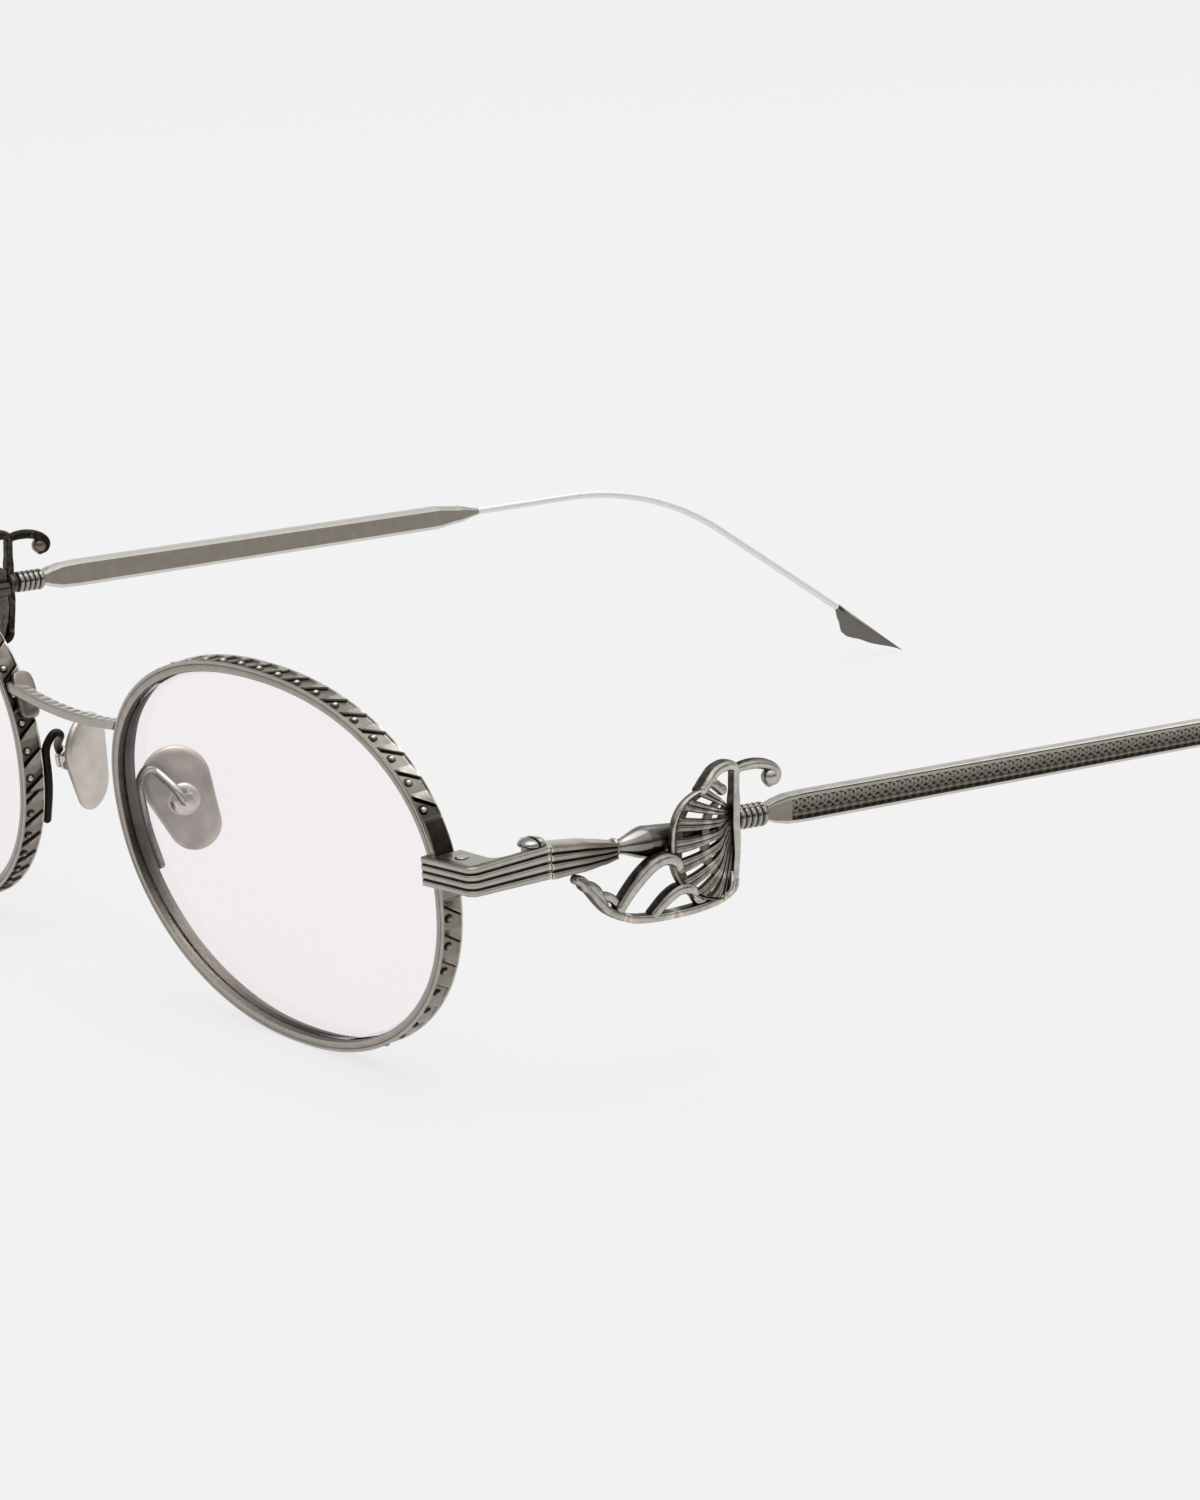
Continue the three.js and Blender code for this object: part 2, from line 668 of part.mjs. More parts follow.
function guardBow() {
  const bow = guardBar([
    [0.007, -0.929, 0], [-0.021, -1.027, 0.071], [-0.113, -1.098, 0.214], [-0.27, -1.161, 0.357],
    [-0.454, -1.205, 0.429], [-0.723, -1.25, 0.429], [-1.064, -1.268, 0.429],
    [-1.362, -1.259, 0.429], [-1.574, -1.223, 0.429], [-1.773, -1.134, 0.429],
    [-1.929, -1.027, 0.393], [-2.043, -0.893, 0.357], [-2.156, -0.723, 0.286],
    [-2.27, -0.571, 0.214], [-2.348, -0.491, 0.143],
  ], crossbarDown, bowRadius, 26);
  const strand = guardBar([
    [-1.73, -1.027, 0.429], [-1.83, -0.893, 0.429], [-1.929, -0.768, 0.393], [-2.043, -0.634, 0.321],
    [-2.142, -0.527, 0.25], [-2.206, -0.473, 0.214],
  ], crossbarDown, bowRadius, 7);
  const longHook = guardBar([
    [-1.759, -1.018, 0.429], [-1.652, -0.83, 0.5], [-1.539, -0.652, 0.607], [-1.418, -0.504, 0.679],
    [-1.305, -0.393, 0.786], [-1.177, -0.345, 0.786], [-1.064, -0.366, 0.75],
    [-0.974, -0.438, 0.714], [-0.936, -0.518, 0.679],
  ], crossbarDown, hookRadius, 13);
  const shortHook = guardBar([
    [-1.262, -1.214, 0.429], [-1.156, -1.079, 0.5], [-1.052, -0.966, 0.571], [-0.936, -0.88, 0.643],
    [-0.813, -0.87, 0.679], [-0.723, -0.916, 0.643], [-0.681, -0.982, 0.607],
  ], crossbarDown, 0.88 * hookRadius, 9);
  const link = guardBar([
    [-0.674, -1, 0.536], [-0.61, -1.107, 0.464], [-0.511, -1.188, 0.429],
  ], crossbarDown, bowRadius, 3);
  return joined(bow, strand, longHook, shortHook, link);
}

function shellGuard() {
  return joined(crossbar(), shell(), guardScrolls(), guardBow());
}

// Ringed collar between the crossbar and the blade.
function ferrule() {
  const profile = [new THREE.Vector2(0, 0)];
  const pitch = ferruleLength / ferruleRings;
  for (let i = 0; i < ferruleRings; i += 1) {
    const low = i * pitch;
    profile.push(
      new THREE.Vector2(0.84 * ferruleRadius, low),
      new THREE.Vector2(ferruleRadius, low + 0.5 * pitch),
    );
  }
  profile.push(new THREE.Vector2(0.84 * ferruleRadius, ferruleLength), new THREE.Vector2(0, ferruleLength));
  return new THREE.LatheGeometry(profile, roundSides);
}

// Flat blade along +Y from the ferrule. The outer face is +X.
function blade() {
  const stations = [
    [0, 0.52, 1], [0.02, 0.72, 1], [0.05, 0.93, 1], [0.085, 1, 1], [0.9, 1, 1],
    [0.955, 0.72, 0.9], [1, 0.3, 0.62],
  ];
  const rings = stations.map(([share, tall, thick]) => {
    const full = bladeTall + (bladeTallEnd - bladeTall) * share;
    const chamfer = Math.min(bladeChamfer, 0.3 * full * tall);
    return bladeSection(bladeThick * thick, full * tall, chamfer)
      .map(([x, z]) => v3(x, share * bladeLength, z));
  });
  const panel = skinned([panelStart, 0.9 * bladeLength].map((y) => {
    const full = bladeTall + (bladeTallEnd - bladeTall) * (y / bladeLength);
    const low = -full / 2 + 0.55 * panelMargin;
    const high = full / 2 - bladeChamfer - panelMargin;
    const from = bladeThick / 2 - panelDepth;
    return [[from, low], [bladeThick, low], [bladeThick, high], [from, high]].map(([x, z]) => v3(x, y, z));
  }));
  return cutBy(skinned(rings), panel);
}

// Section of the blade with its outer top edge cut back, counter-clockwise in x and z.
function bladeSection(thick, tall, chamfer) {
  const w = thick / 2;
  const h = tall / 2;
  return [[w, -h + 0.12], [w, h - chamfer], [w - chamfer, h], [-w + 0.15, h], [-w, h - 0.15],
    [-w, -h + 1.6 * chamfer], [-w + chamfer, -h], [w - 0.15, -h]];
}

// Ear wire: straight, a bend, then a straight leg down to the tip.
function wirePoint(distance) {
  if (distance <= wireStraight) return [distance, 0];
  const turn = (distance - wireStraight) / wireBendRadius;
  if (turn <= wireDrop) {
    return [wireStraight + wireBendRadius * Math.sin(turn), wireBendRadius * (Math.cos(turn) - 1)];
  }
  const rest = distance - wireStraight - wireBendRadius * wireDrop;
  return [
    wireStraight + wireBendRadius * Math.sin(wireDrop) + rest * Math.cos(wireDrop),
    wireBendRadius * (Math.cos(wireDrop) - 1) - rest * Math.sin(wireDrop),
  ];
}

// Where the temple's stages lie, from the hinge axis back.
const hubY = gripEnd + solderGap + crossbarDeep / 2;
const ferruleY = hubY + crossbarDeep / 2 + solderGap;
const bladeY = ferruleY + ferruleLength + solderGap;
const wireY = bladeY + (bladeLength + solderGap) * Math.cos(bladePitch);
const bladeZ = hiltRise;
const wireZ = bladeZ + (bladeLength + solderGap) * Math.sin(bladePitch);

// The leg of the ear wire is as long as it takes for the tip to come down level with the rims.
const rimLowest = Math.min(...[0, rimDepth].map((depth) => rimPoint(-Math.PI / 2, 0, depth).z));
const legDrop = wireDrop - bladePitch;
const bendEnd = wirePoint(wireStraight + wireBendRadius * wireDrop);
const bendEndZ = wireZ + bendEnd[0] * Math.sin(bladePitch) + bendEnd[1] * Math.cos(bladePitch);
const legLength = (hingeAt.z + bendEndZ - rimLowest) / Math.sin(legDrop) - tipLength - solderGap;
const wireLength = wireStraight + wireBendRadius * wireDrop + legLength;

function earWire() {
  const steps = 10;
  const bend = wireBendRadius * wireDrop;
  const bends = Array.from({ length: steps + 1 }, (_, i) => wireStraight + (bend * i) / steps);
  const stations = [0, ...bends, wireLength];
  const rings = [];
  for (const distance of stations) {
    const [y, z] = wirePoint(distance);
    const turn = THREE.MathUtils.clamp((distance - wireStraight) / wireBendRadius, 0, wireDrop);
    rings.push(Array.from({ length: 8 }, (_, j) => {
      const around = -(2 * Math.PI * j) / 8;
      const up = wireRadius * Math.sin(around);
      return v3(wireRadius * Math.cos(around), y + up * Math.sin(turn), z + up * Math.cos(turn));
    }));
  }
  return skinned(rings);
}

// Spear tip in the frame of the wire's leg: y along the leg, z across it.
function tip() {
  const upper = 0.62 * wireRadius;
  const outlinePlan = new THREE.Shape()
    .moveTo(0, -wireRadius)
    .quadraticCurveTo(0.12 * tipLength, -0.5 * tipWidth, 0.21 * tipLength, -tipWidth + upper)
    .quadraticCurveTo(0.45 * tipLength, -0.78 * tipWidth, tipLength, 0)
    .lineTo(0.5 * tipLength, 0.8 * upper)
    .lineTo(0, wireRadius);
  const bevel = 0.3 * tipThick;
  const made = new THREE.ExtrudeGeometry(outlinePlan, {
    depth: tipThick - 2 * bevel, bevelEnabled: true, bevelThickness: bevel, bevelSize: 0.12,
    bevelOffset: -0.12, bevelSegments: 1, curveSegments: 6,
  });
  made.translate(0, 0, bevel - tipThick / 2);
  return made.applyMatrix4(new THREE.Matrix4().set(0, 0, 1, 0, 1, 0, 0, 0, 0, 1, 0, 0, 0, 0, 0, 1));
}

// Nose pad about its pivot: x is down the pad, y is to the front, z is towards the nose.
const padBoxHalf = padTabThick / 2 + padBoxGap + padBoxWall;
const tabDeep = 0.55;
const padNear = padBossTall + 0.6;

function nosePad() {
  const big = padWidth / 2;
  const small = 0.76 * big;
  const upper = -(padLength / 2 - big);
  const lower = padLength / 2 - small;
  const lean = Math.asin((big - small) / (lower - upper));
  const plan = new THREE.Shape()
    .absarc(upper, 0, big, Math.PI / 2 - lean, 1.5 * Math.PI + lean, false)
    .absarc(lower, 0, small, -(Math.PI / 2 - lean), Math.PI / 2 - lean, false);
  const bevel = 0.3 * padThick;
  const body = new THREE.ExtrudeGeometry(plan, {
    depth: padThick - 2 * bevel, bevelEnabled: true, bevelThickness: bevel, bevelSize: padDome,
    bevelOffset: -padDome, bevelSegments: 2, curveSegments: 7,
  }).translate(0, 0, padNear + bevel);
  const boss = pinZ(padBossRadius, 0.6, padNear + 0.2);
  const tab = block(2 * padTabHalf, padTabThick, 0.7 + tabDeep, 0, 0, (0.7 - tabDeep) / 2);
  const hole = pinZ(padScrewRadius + padBoxGap, -1, 1, 0, 0, 10).rotateX(Math.PI / 2);
  return cutBy(joined(body, boss, tab), hole);
}

function padScrew() {
  const under = padBoxHalf + solderGap;
  const headRadius = 1.8 * padScrewRadius;
  return new THREE.LatheGeometry([
    new THREE.Vector2(0, -padBoxHalf), new THREE.Vector2(padScrewRadius, -padBoxHalf),
    new THREE.Vector2(padScrewRadius, under), new THREE.Vector2(headRadius, under),
    new THREE.Vector2(headRadius, under + 0.2), new THREE.Vector2(0, under + 0.3),
  ], 12);
}

const padPlace = padFrame();

// Where the pad's pivot is, and how the pad is turned, on the right side of the front.
function padFrame() {
  const nasal = rimPoint(Math.PI - angleAt(padLevel), 0, rimDepth);
  const down = v3(Math.tan(padFlare), Math.tan(padLean), -1).normalize();
  const frontRough = v3(-Math.sin(padSplay), -Math.cos(padSplay), 0);
  const toNose = new THREE.Vector3().crossVectors(down, frontRough).normalize();
  const front = new THREE.Vector3().crossVectors(toNose, down).normalize();
  return new THREE.Matrix4()
    .makeBasis(down, front, toNose)
    .setPosition(nasal.x + padSetIn, nasal.y + padSetBack, padLevel);
}

// Gooseneck: a foot along the back of the rim, a loop up and over, and the box for the pad's tab.
function padArm() {
  const foot = (level) => rimPoint(Math.PI - angleAt(level), -0.45 * rimThick, rimDepth + armRadius + fitGap);
  const top = foot(1.2);
  const boxBack = v3(-0.2, 0, -1.3).applyMatrix4(padPlace);
  const neck = boxBack.clone().lerp(top, 0.42).add(v3(0.35, 0.1, 0.9));
  const wire = bar([
    foot(armFootLevel), foot(-3.2), foot(-1.2), top,
    top.clone().add(v3(-0.1, 0.5, 1.2)), top.clone().add(v3(0.15, 1.2, 1.45)), neck, boxBack,
  ], armRadius, 24, 6);
  const wide = 2 * padBoxHalf;
  const slot = padTabThick + 2 * padBoxGap;
  const box = cutBy(
    block(1.5, wide, 1.75, 0, 0, -0.525),
    block(3, slot, 1.5, 0, 0, -0.05),
    pinZ(padScrewRadius + padBoxGap, -2, 2, 0, 0, 10).rotateX(Math.PI / 2),
  );
  return joined(wire, box.applyMatrix4(padPlace));
}

function mesh(name, geometry, material) {
  const made = new THREE.Mesh(geometry, material);
  made.name = name;
  return made;
}

function placed(parent, x, y, z, turn = [0, 0, 0]) {
  const group = new THREE.Group();
  group.position.set(x, y, z);
  group.rotation.set(...turn);
  parent.add(group);
  return group;
}

// One side of the glasses, built on the right and mirrored for the left.
function oneSide(side) {
  const half = new THREE.Group();
  half.scale.x = side === "right" ? 1 : -1;
  const ring = placed(half, rimCentre, 0, 0, [faceTilt, 0, faceWrap]);
  ring.add(mesh(`${side}_rim`, rim(), agedSilver));
  ring.add(mesh(`${side}_lens`, lens(), paleLens));

  const end = placed(half, hingeAt.x, hingeAt.y, hingeAt.z, [hingePitch, 0, 0]);
  end.add(mesh(`${side}_end_piece`, endPiece(), agedSilver));
  end.add(mesh(`${side}_closing_block`, closingBlock(), agedSilver));
  end.add(mesh(`${side}_rim_screw`, rimScrew(), darkSilver));
  end.add(mesh(`${side}_hinge_screw`, hingeScrew(), darkSilver));

  half.add(mesh(`${side}_pad_arm`, padArm(), agedSilver));
  const pad = new THREE.Group();
  pad.applyMatrix4(padPlace);
  half.add(pad);
  pad.add(mesh(`${side}_nose_pad`, nosePad(), padTitanium));
  pad.add(mesh(`${side}_pad_screw`, padScrew(), darkSilver));

  const temple = placed(half, hingeAt.x, hingeAt.y, hingeAt.z, [0, 0, -templeSplay]);
  temple.add(mesh(`${side}_hinge_block`, hingeBlock(), agedSilver));
  const stem = placed(temple, -templeInset, gripStart, -blockDrop, [gripTilt, 0, 0]);
  stem.add(mesh(`${side}_grip`, grip(), darkSilver));
  const hilt = placed(temple, -templeInset, hubY, bladeZ);
  hilt.add(mesh(`${side}_shell_guard`, shellGuard(), agedSilver));
  const collar = placed(temple, -templeInset, ferruleY, bladeZ);
  collar.add(mesh(`${side}_ferrule`, ferrule(), darkSilver));
  const sabre = placed(temple, -templeInset, bladeY, bladeZ, [bladePitch, 0, 0]);
  sabre.add(mesh(`${side}_blade`, blade(), agedSilver));
  const spring = placed(temple, -templeInset, wireY, wireZ, [bladePitch, 0, 0]);
  spring.add(mesh(`${side}_ear_wire`, earWire(), brightWire));
  const [tipY, tipZ] = wirePoint(wireLength + solderGap);
  const point = placed(spring, 0, tipY, tipZ, [-wireDrop, 0, 0]);
  point.add(mesh(`${side}_tip`, tip(), darkSilver));
  return half;
}

const glasses = new THREE.Group();
glasses.add(mesh("bridge", bridge(), agedSilver), oneSide("right"), oneSide("left"));

// The origin is the middle of the floor that the rims and tips stand on.
const bounds = new THREE.Box3().setFromObject(glasses, true);
const middle = bounds.getCenter(new THREE.Vector3());
glasses.position.set(0, -middle.y, -bounds.min.z);
const whole = new THREE.Group();
whole.add(glasses);

export default whole;
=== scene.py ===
# %% [markdown]
# These are small oval metal sunglasses whose temples are shaped like sabres. The imported CAD model is
# loaded first as a fixed frame, because every surface below has to sit on one of its bodies.

# %% Load the frame
import json
import bpy
import numpy as np
from mathutils import Matrix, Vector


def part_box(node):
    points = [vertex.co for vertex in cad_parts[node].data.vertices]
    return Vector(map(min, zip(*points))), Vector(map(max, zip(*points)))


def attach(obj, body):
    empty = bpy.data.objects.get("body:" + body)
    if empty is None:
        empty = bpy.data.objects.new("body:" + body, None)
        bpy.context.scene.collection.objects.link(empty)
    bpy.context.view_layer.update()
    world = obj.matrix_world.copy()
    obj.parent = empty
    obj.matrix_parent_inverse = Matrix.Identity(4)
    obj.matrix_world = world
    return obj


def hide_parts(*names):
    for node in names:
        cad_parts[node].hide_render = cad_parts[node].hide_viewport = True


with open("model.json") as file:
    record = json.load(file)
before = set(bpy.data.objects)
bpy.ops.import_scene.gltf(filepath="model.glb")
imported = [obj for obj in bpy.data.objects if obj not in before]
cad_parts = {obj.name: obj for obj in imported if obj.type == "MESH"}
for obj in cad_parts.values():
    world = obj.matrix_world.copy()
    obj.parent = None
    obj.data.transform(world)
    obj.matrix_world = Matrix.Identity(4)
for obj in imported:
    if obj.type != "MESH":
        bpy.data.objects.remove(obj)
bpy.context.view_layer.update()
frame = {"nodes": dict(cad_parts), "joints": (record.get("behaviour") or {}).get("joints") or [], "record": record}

scene = bpy.context.scene
scene.view_settings.view_transform = "Standard"

# %% [markdown]
# Lengths below are in millimetres, as a frame maker writes them, and become metres only when a mesh is
# made. Three places carry everything: the hinge axis, the nose pad's pivot and the middle of a rim. The
# first two are the frame's own joints. A rim leans and wraps, so its middle lies a little off the middle
# of its box, by a known step.

# %% Places that the frame gives
METRES_PER_MM = 0.001
joints = {joint["name"]: joint for joint in frame["joints"]}


def joint_place(name):
    """A joint's point in millimetres and its axis."""
    joint = joints[name]
    return np.array(joint["pos_m"]) / METRES_PER_MM, np.array(joint["axis"])


def turn_x(angle):
    """Rotation matrix about X by an angle in radians."""
    c, s = np.cos(angle), np.sin(angle)
    return np.array([[1, 0, 0], [0, c, -s], [0, s, c]])


def turn_z(angle):
    """Rotation matrix about Z by an angle in radians."""
    c, s = np.cos(angle), np.sin(angle)
    return np.array([[c, -s, 0], [s, c, 0], [0, 0, 1]])


hinge, hinge_axis = joint_place("right_temple_fold")
pad_pivot, pad_axis = joint_place("right_pad_rock")
hinge_pitch = np.arcsin(-hinge_axis[1])
temple_yaw = np.radians(0.93)
temple_turn = turn_z(-temple_yaw)
end_turn = turn_x(hinge_pitch)

face_tilt = np.radians(7.9)
face_wrap = np.radians(3.1)
rim_turn = turn_x(face_tilt) @ turn_z(face_wrap)
rim_step = np.array([0.044, -1.047, -0.147])
rim_box = np.array(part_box("right_rim")) / METRES_PER_MM
rim_middle = rim_box.mean(axis=0) + rim_step
front_origin = rim_middle * [0, 1, 1]
print("hinge", hinge.round(2), "rim middle", rim_middle.round(2))


def placed(points, turn, origin):
    """Points of a local frame in the row frame: turned first, then moved."""
    return points @ turn.T + origin


def on_temple(points):
    """Points of the temple's frame: x out from the hinge axis, y back, z up."""
    return placed(points, temple_turn, hinge)


def on_end_piece(points):
    """Points of the end piece's frame, whose z runs along the leaning hinge axis."""
    return placed(points, end_turn, hinge)


# %% [markdown]
# The camera stands where the photographer stood: to the front right, a little above, with a long lens.
# Its place was worked out from the two rims, both temples and the end piece, so the picture can be laid
# over the photograph. A camera looks along its own -Z, so its matrix columns are right, up and back.

# %% Camera
camera_from_front = np.array([450.47, -269.04, 127.98])
camera_turn = np.radians(53.997)
camera_rise = np.radians(13.401)
camera_roll = np.radians(0.197)
picture_height_px = 1500
focal_px = 5917.8

level_back = np.array([np.sin(camera_turn), -np.cos(camera_turn), 0])
back = level_back * np.cos(camera_rise) + np.array([0, 0, np.sin(camera_rise)])
level_right = np.array([np.cos(camera_turn), np.sin(camera_turn), 0])
level_up = np.cross(back, level_right)
right = level_right * np.cos(camera_roll) + level_up * np.sin(camera_roll)
up = level_up * np.cos(camera_roll) - level_right * np.sin(camera_roll)

camera_data = bpy.data.cameras.new("camera")
camera_data.sensor_fit = "VERTICAL"
camera_data.sensor_height = 24
camera_data.lens = camera_data.sensor_height * focal_px / picture_height_px
camera_data.clip_start = 0.01
camera = bpy.data.objects.new("camera", camera_data)
scene.collection.objects.link(camera)
camera_place = np.eye(4)
camera_place[:3, :3] = np.stack([right, up, back], axis=1)
camera_place[:3, 3] = (camera_from_front + front_origin) * METRES_PER_MM
camera.matrix_world = Matrix(camera_place.tolist())
scene.camera = camera
print("lens", round(camera_data.lens, 1), "mm")

# %% [markdown]
# Every piece is a surface worked out as whole arrays. A skin joins rings of points, as a draughtsman
# lofts sections along a path. A slab is a plate whose two faces are grids, and cells can be left out of
# it to pierce it. Each point also carries a number called relief: -1 is a deep cut that holds black
# oxide, 0 is the plain metal, 1 is an edge that handling has burnished, and above 1 the plating is rubbed
# through to the brass. In places the same number also carries painted light and shade. The finishes read it.

# %% Surfaces from arrays
def skin(points, relief=0.0, loop=False):
    """Rings of points joined in order. A quad joins each pair of neighbours on two rings, and a flat
    face closes each end unless the rings run in a loop."""
    rows, columns = points.shape[:2]
    index = np.arange(rows * columns).reshape(rows, columns)
    here = index if loop else index[:-1]
    there = np.roll(index, -1, axis=0) if loop else index[1:]
    corners = [here, np.roll(here, -1, axis=1), np.roll(there, -1, axis=1), there]
    quads = np.stack(corners, axis=-1).reshape(-1, 4)
    ends = [] if loop else [index[0, ::-1].tolist(), index[-1].tolist()]
    return points.reshape(-1, 3), quads, ends, np.broadcast_to(relief, (rows, columns)).ravel()


def slab(outer, inner, solid=None, relief=0.0, back=None):
    """A plate between two grids of points. Each solid cell gives one quad on both faces, and a wall
    stands wherever a solid cell has no solid neighbour. The back takes the front's tone or its own."""
    rows, columns = outer.shape[:2]
    solid = np.ones((rows - 1, columns - 1), bool) if solid is None else solid
    index = np.arange(rows * columns).reshape(rows, columns)
    deep = rows * columns
    corner = [index[:-1, :-1], index[1:, :-1], index[1:, 1:], index[:-1, 1:]]
    top = np.stack([c[solid] for c in corner], axis=-1)
    around = np.pad(solid, 1)
    beside = [around[1:-1, :-2], around[2:, 1:-1], around[1:-1, 2:], around[:-2, 1:-1]]
    walls = []
    for side in range(4):
        bare = solid & ~beside[side]
        first, second = corner[side][bare], corner[(side + 1) % 4][bare]
        walls.append(np.stack([second, first, first + deep, second + deep], axis=-1))
    quads = np.concatenate([top, top[:, ::-1] + deep, *walls])
    points = np.concatenate([outer.reshape(-1, 3), inner.reshape(-1, 3)])
    tone = np.broadcast_to(relief, (rows, columns)).ravel()
    under = tone if back is None else np.full(deep, back)
    return points, quads, [], np.concatenate([tone, under])


def outward(points, quads):
    """True if the quads look outwards: the volume they enclose about their middle is positive."""
    a, b, c, d = (points[quads[:, k]] - points.mean(axis=0) for k in range(4))
    return np.sum(a * np.cross(b, c)) + np.sum(a * np.cross(c, d)) > 0


def smooth_step(low, high, value):
    """Goes from 0 at low to 1 at high along a cubic with level ends."""
    share = np.clip((value - low) / (high - low), 0, 1)
    return share * share * (3 - 2 * share)


def rounded(angle, power):
    """Cosine and sine of a rounded square: a circle's, each raised to a power and keeping its sign. A
    power of 1 gives the circle, and smaller ones give flatter sides."""
    c, s = np.cos(angle), np.sin(angle)
    return np.sign(c) * np.abs(c) ** power, np.sign(s) * np.abs(s) ** power


def full_turn(count):
    """Angles once round, evenly spaced. The last one stops a step before the first."""
    return np.linspace(0, 2 * np.pi, count, endpoint=False)


def xyz(x, y, z):
    """Points from three coordinates, each spread over the shape that they share."""
    return np.stack(np.broadcast_arrays(x, y, z), axis=-1)


def mirrored(surface):
    """The same surface on the other side of the nose."""
    points, quads, ends, relief = surface
    return points * [-1, 1, 1], quads[:, ::-1], [end[::-1] for end in ends], relief


print("a smooth step is at", smooth_step(0, 1, 0.5), "half way")

# %% Pieces from surfaces
PLAIN_CREASE = 38
pieces_made = []


def piece(name, surfaces, material, body, nodes, crease=PLAIN_CREASE):
    """One mesh object from several surfaces: its faces turned outwards, shaded smooth up to a crease
    angle in degrees, riding on a body and standing for CAD nodes."""
    points, faces, relief, start = [], [], [], 0
    for spots, quads, ends, tone in surfaces:
        facing = 1 if outward(spots, quads) else -1
        faces += (quads[:, ::facing] + start).tolist()
        faces += [[start + k for k in end[::facing]] for end in ends]
        points.append(spots)
        relief.append(tone)
        start += len(spots)
    mesh = bpy.data.meshes.new(name)
    mesh.from_pydata((np.concatenate(points) * METRES_PER_MM).tolist(), [], faces)
    tone = mesh.attributes.new("relief", "FLOAT", "POINT")
    tone.data.foreach_set("value", np.concatenate(relief).astype(np.float32))
    mesh.shade_smooth()
    mesh.set_sharp_from_angle(angle=np.radians(crease))
    mesh.materials.append(material)
    made = bpy.data.objects.new(name, mesh)
    scene.collection.objects.link(made)
    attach(made, body)
    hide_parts(*nodes)
    pieces_made.append(made)


def both_sides(name, surfaces, material, body, crease=PLAIN_CREASE):
    """A piece for the right side and its mirror image for the left. A body that has a side of its own
    is named with it, and the front carries both."""
    for side in ("right", "left"):
        own = surfaces if side == "right" else [mirrored(s) for s in surfaces]
        carrier = body if body == "front" else f"{side}_{body}"
        piece(f"{side}_{name}_shape", own, material, carrier, [f"{side}_{name}"], crease)
    print(name, sum(len(s[1]) for s in surfaces), "quads a side")


print("pieces so far", len(pieces_made))

# %% [markdown]
# The metal is silver that was blackened and then rubbed back, so colour follows depth: cuts stay almost
# black, flats are a warm grey and edges are bright. That is one effect with different strengths, so it is
# a node group. It takes the relief number, adds a cloudy grain, and gives a colour, a roughness and a
# fine height for a bump.

# %% Patina group
CUT_ROUGHENS = 0.2
GRAIN_ROUGHENS = 0.2


def fill(tree, target, inputs):
    """Fills inputs of a node, by name or number: a plain value is written, another node's output joined."""
    for socket, source in inputs.items():
        if isinstance(source, bpy.types.NodeSocket):
            tree.links.new(source, target.inputs[socket])
        else:
            target.inputs[socket].default_value = source
    return target


def node(tree, kind, inputs, **settings):
    """A new node with its settings made and its inputs filled."""
    made = tree.nodes.new(kind)
    for name, setting in settings.items():
        setattr(made, name, setting)
    return fill(tree, made, inputs)


def patina_group():
    """Tone is relief plus grain times cloud noise. Its negative part mixes the dark colour in, its positive
    part mixes the bright colour in, and what is above 1 mixes the brass in. Cuts are rougher."""
    group = bpy.data.node_groups.new("patina_and_painted_light", "ShaderNodeTree")
    colour, number = "NodeSocketColor", "NodeSocketFloat"
    for name, kind, start in (
            ("Plain", colour, (0.2, 0.18, 0.16, 1)), ("Dark", colour, (0.02, 0.02, 0.02, 1)),
            ("Bright", colour, (0.6, 0.58, 0.55, 1)), ("Brass", colour, (0.5, 0.3, 0.12, 1)),
            ("Grain", number, 0.3), ("Cloud Scale", number, 900.0), ("Roughness", number, 0.3)):
        group.interface.new_socket(name, in_out="INPUT", socket_type=kind).default_value = start
    for name, kind in (("Color", colour), ("Roughness", number), ("Height", number)):
        group.interface.new_socket(name, in_out="OUTPUT", socket_type=kind)

    def maths(kind, a, b, clamp=False):
        """The result of a math node on two sockets or numbers."""
        return node(group, "ShaderNodeMath", {0: a, 1: b}, operation=kind, use_clamp=clamp).outputs[0]

    def blend(factor, a, b):
        """A colour between two colours."""
        mixed = node(group, "ShaderNodeMix", {"Factor": factor, "A": a, "B": b}, data_type="RGBA")
        return mixed.outputs["Result"]

    given = node(group, "NodeGroupInput", {}).outputs
    place = node(group, "ShaderNodeTexCoord", {}).outputs["Object"]
    relief = node(group, "ShaderNodeAttribute", {}, attribute_name="relief").outputs["Fac"]
    cloud = node(group, "ShaderNodeTexNoise", {
        "Vector": place, "Scale": given["Cloud Scale"], "Detail": 5}).outputs["Fac"]
    swing = maths("SUBTRACT", cloud, 0.5)
    tone = maths("ADD", relief, maths("MULTIPLY", swing, given["Grain"]))
    darker = maths("MULTIPLY", tone, -1.0, clamp=True)
    brighter = maths("MULTIPLY", tone, 1.0, clamp=True)
    bare = maths("SUBTRACT", tone, 1.0, clamp=True)
    toned = blend(darker, given["Plain"], given["Dark"])
    toned = blend(brighter, toned, given["Bright"])
    wear = maths("ADD", maths("MULTIPLY", darker, CUT_ROUGHENS), maths("MULTIPLY", swing, GRAIN_ROUGHENS))
    node(group, "NodeGroupOutput", {
        "Color": blend(bare, toned, given["Brass"]),
        "Roughness": maths("ADD", given["Roughness"], wear, clamp=True), "Height": cloud})
    return group


patina = patina_group()
print("patina sockets", len(patina.interface.items_tree))

# %% [markdown]
# One finish is one material: the patina group feeds the colour and roughness of a metallic Principled
# shader, and a weak bump keeps large flats from looking like plastic.

# %% Metal finishes
OXIDE = (0.02, 0.016, 0.013)
BURNISHED = (0.7, 0.68, 0.63)
BUMP_STRENGTH = 0.04
BUMP_HEIGHT = 0.0002


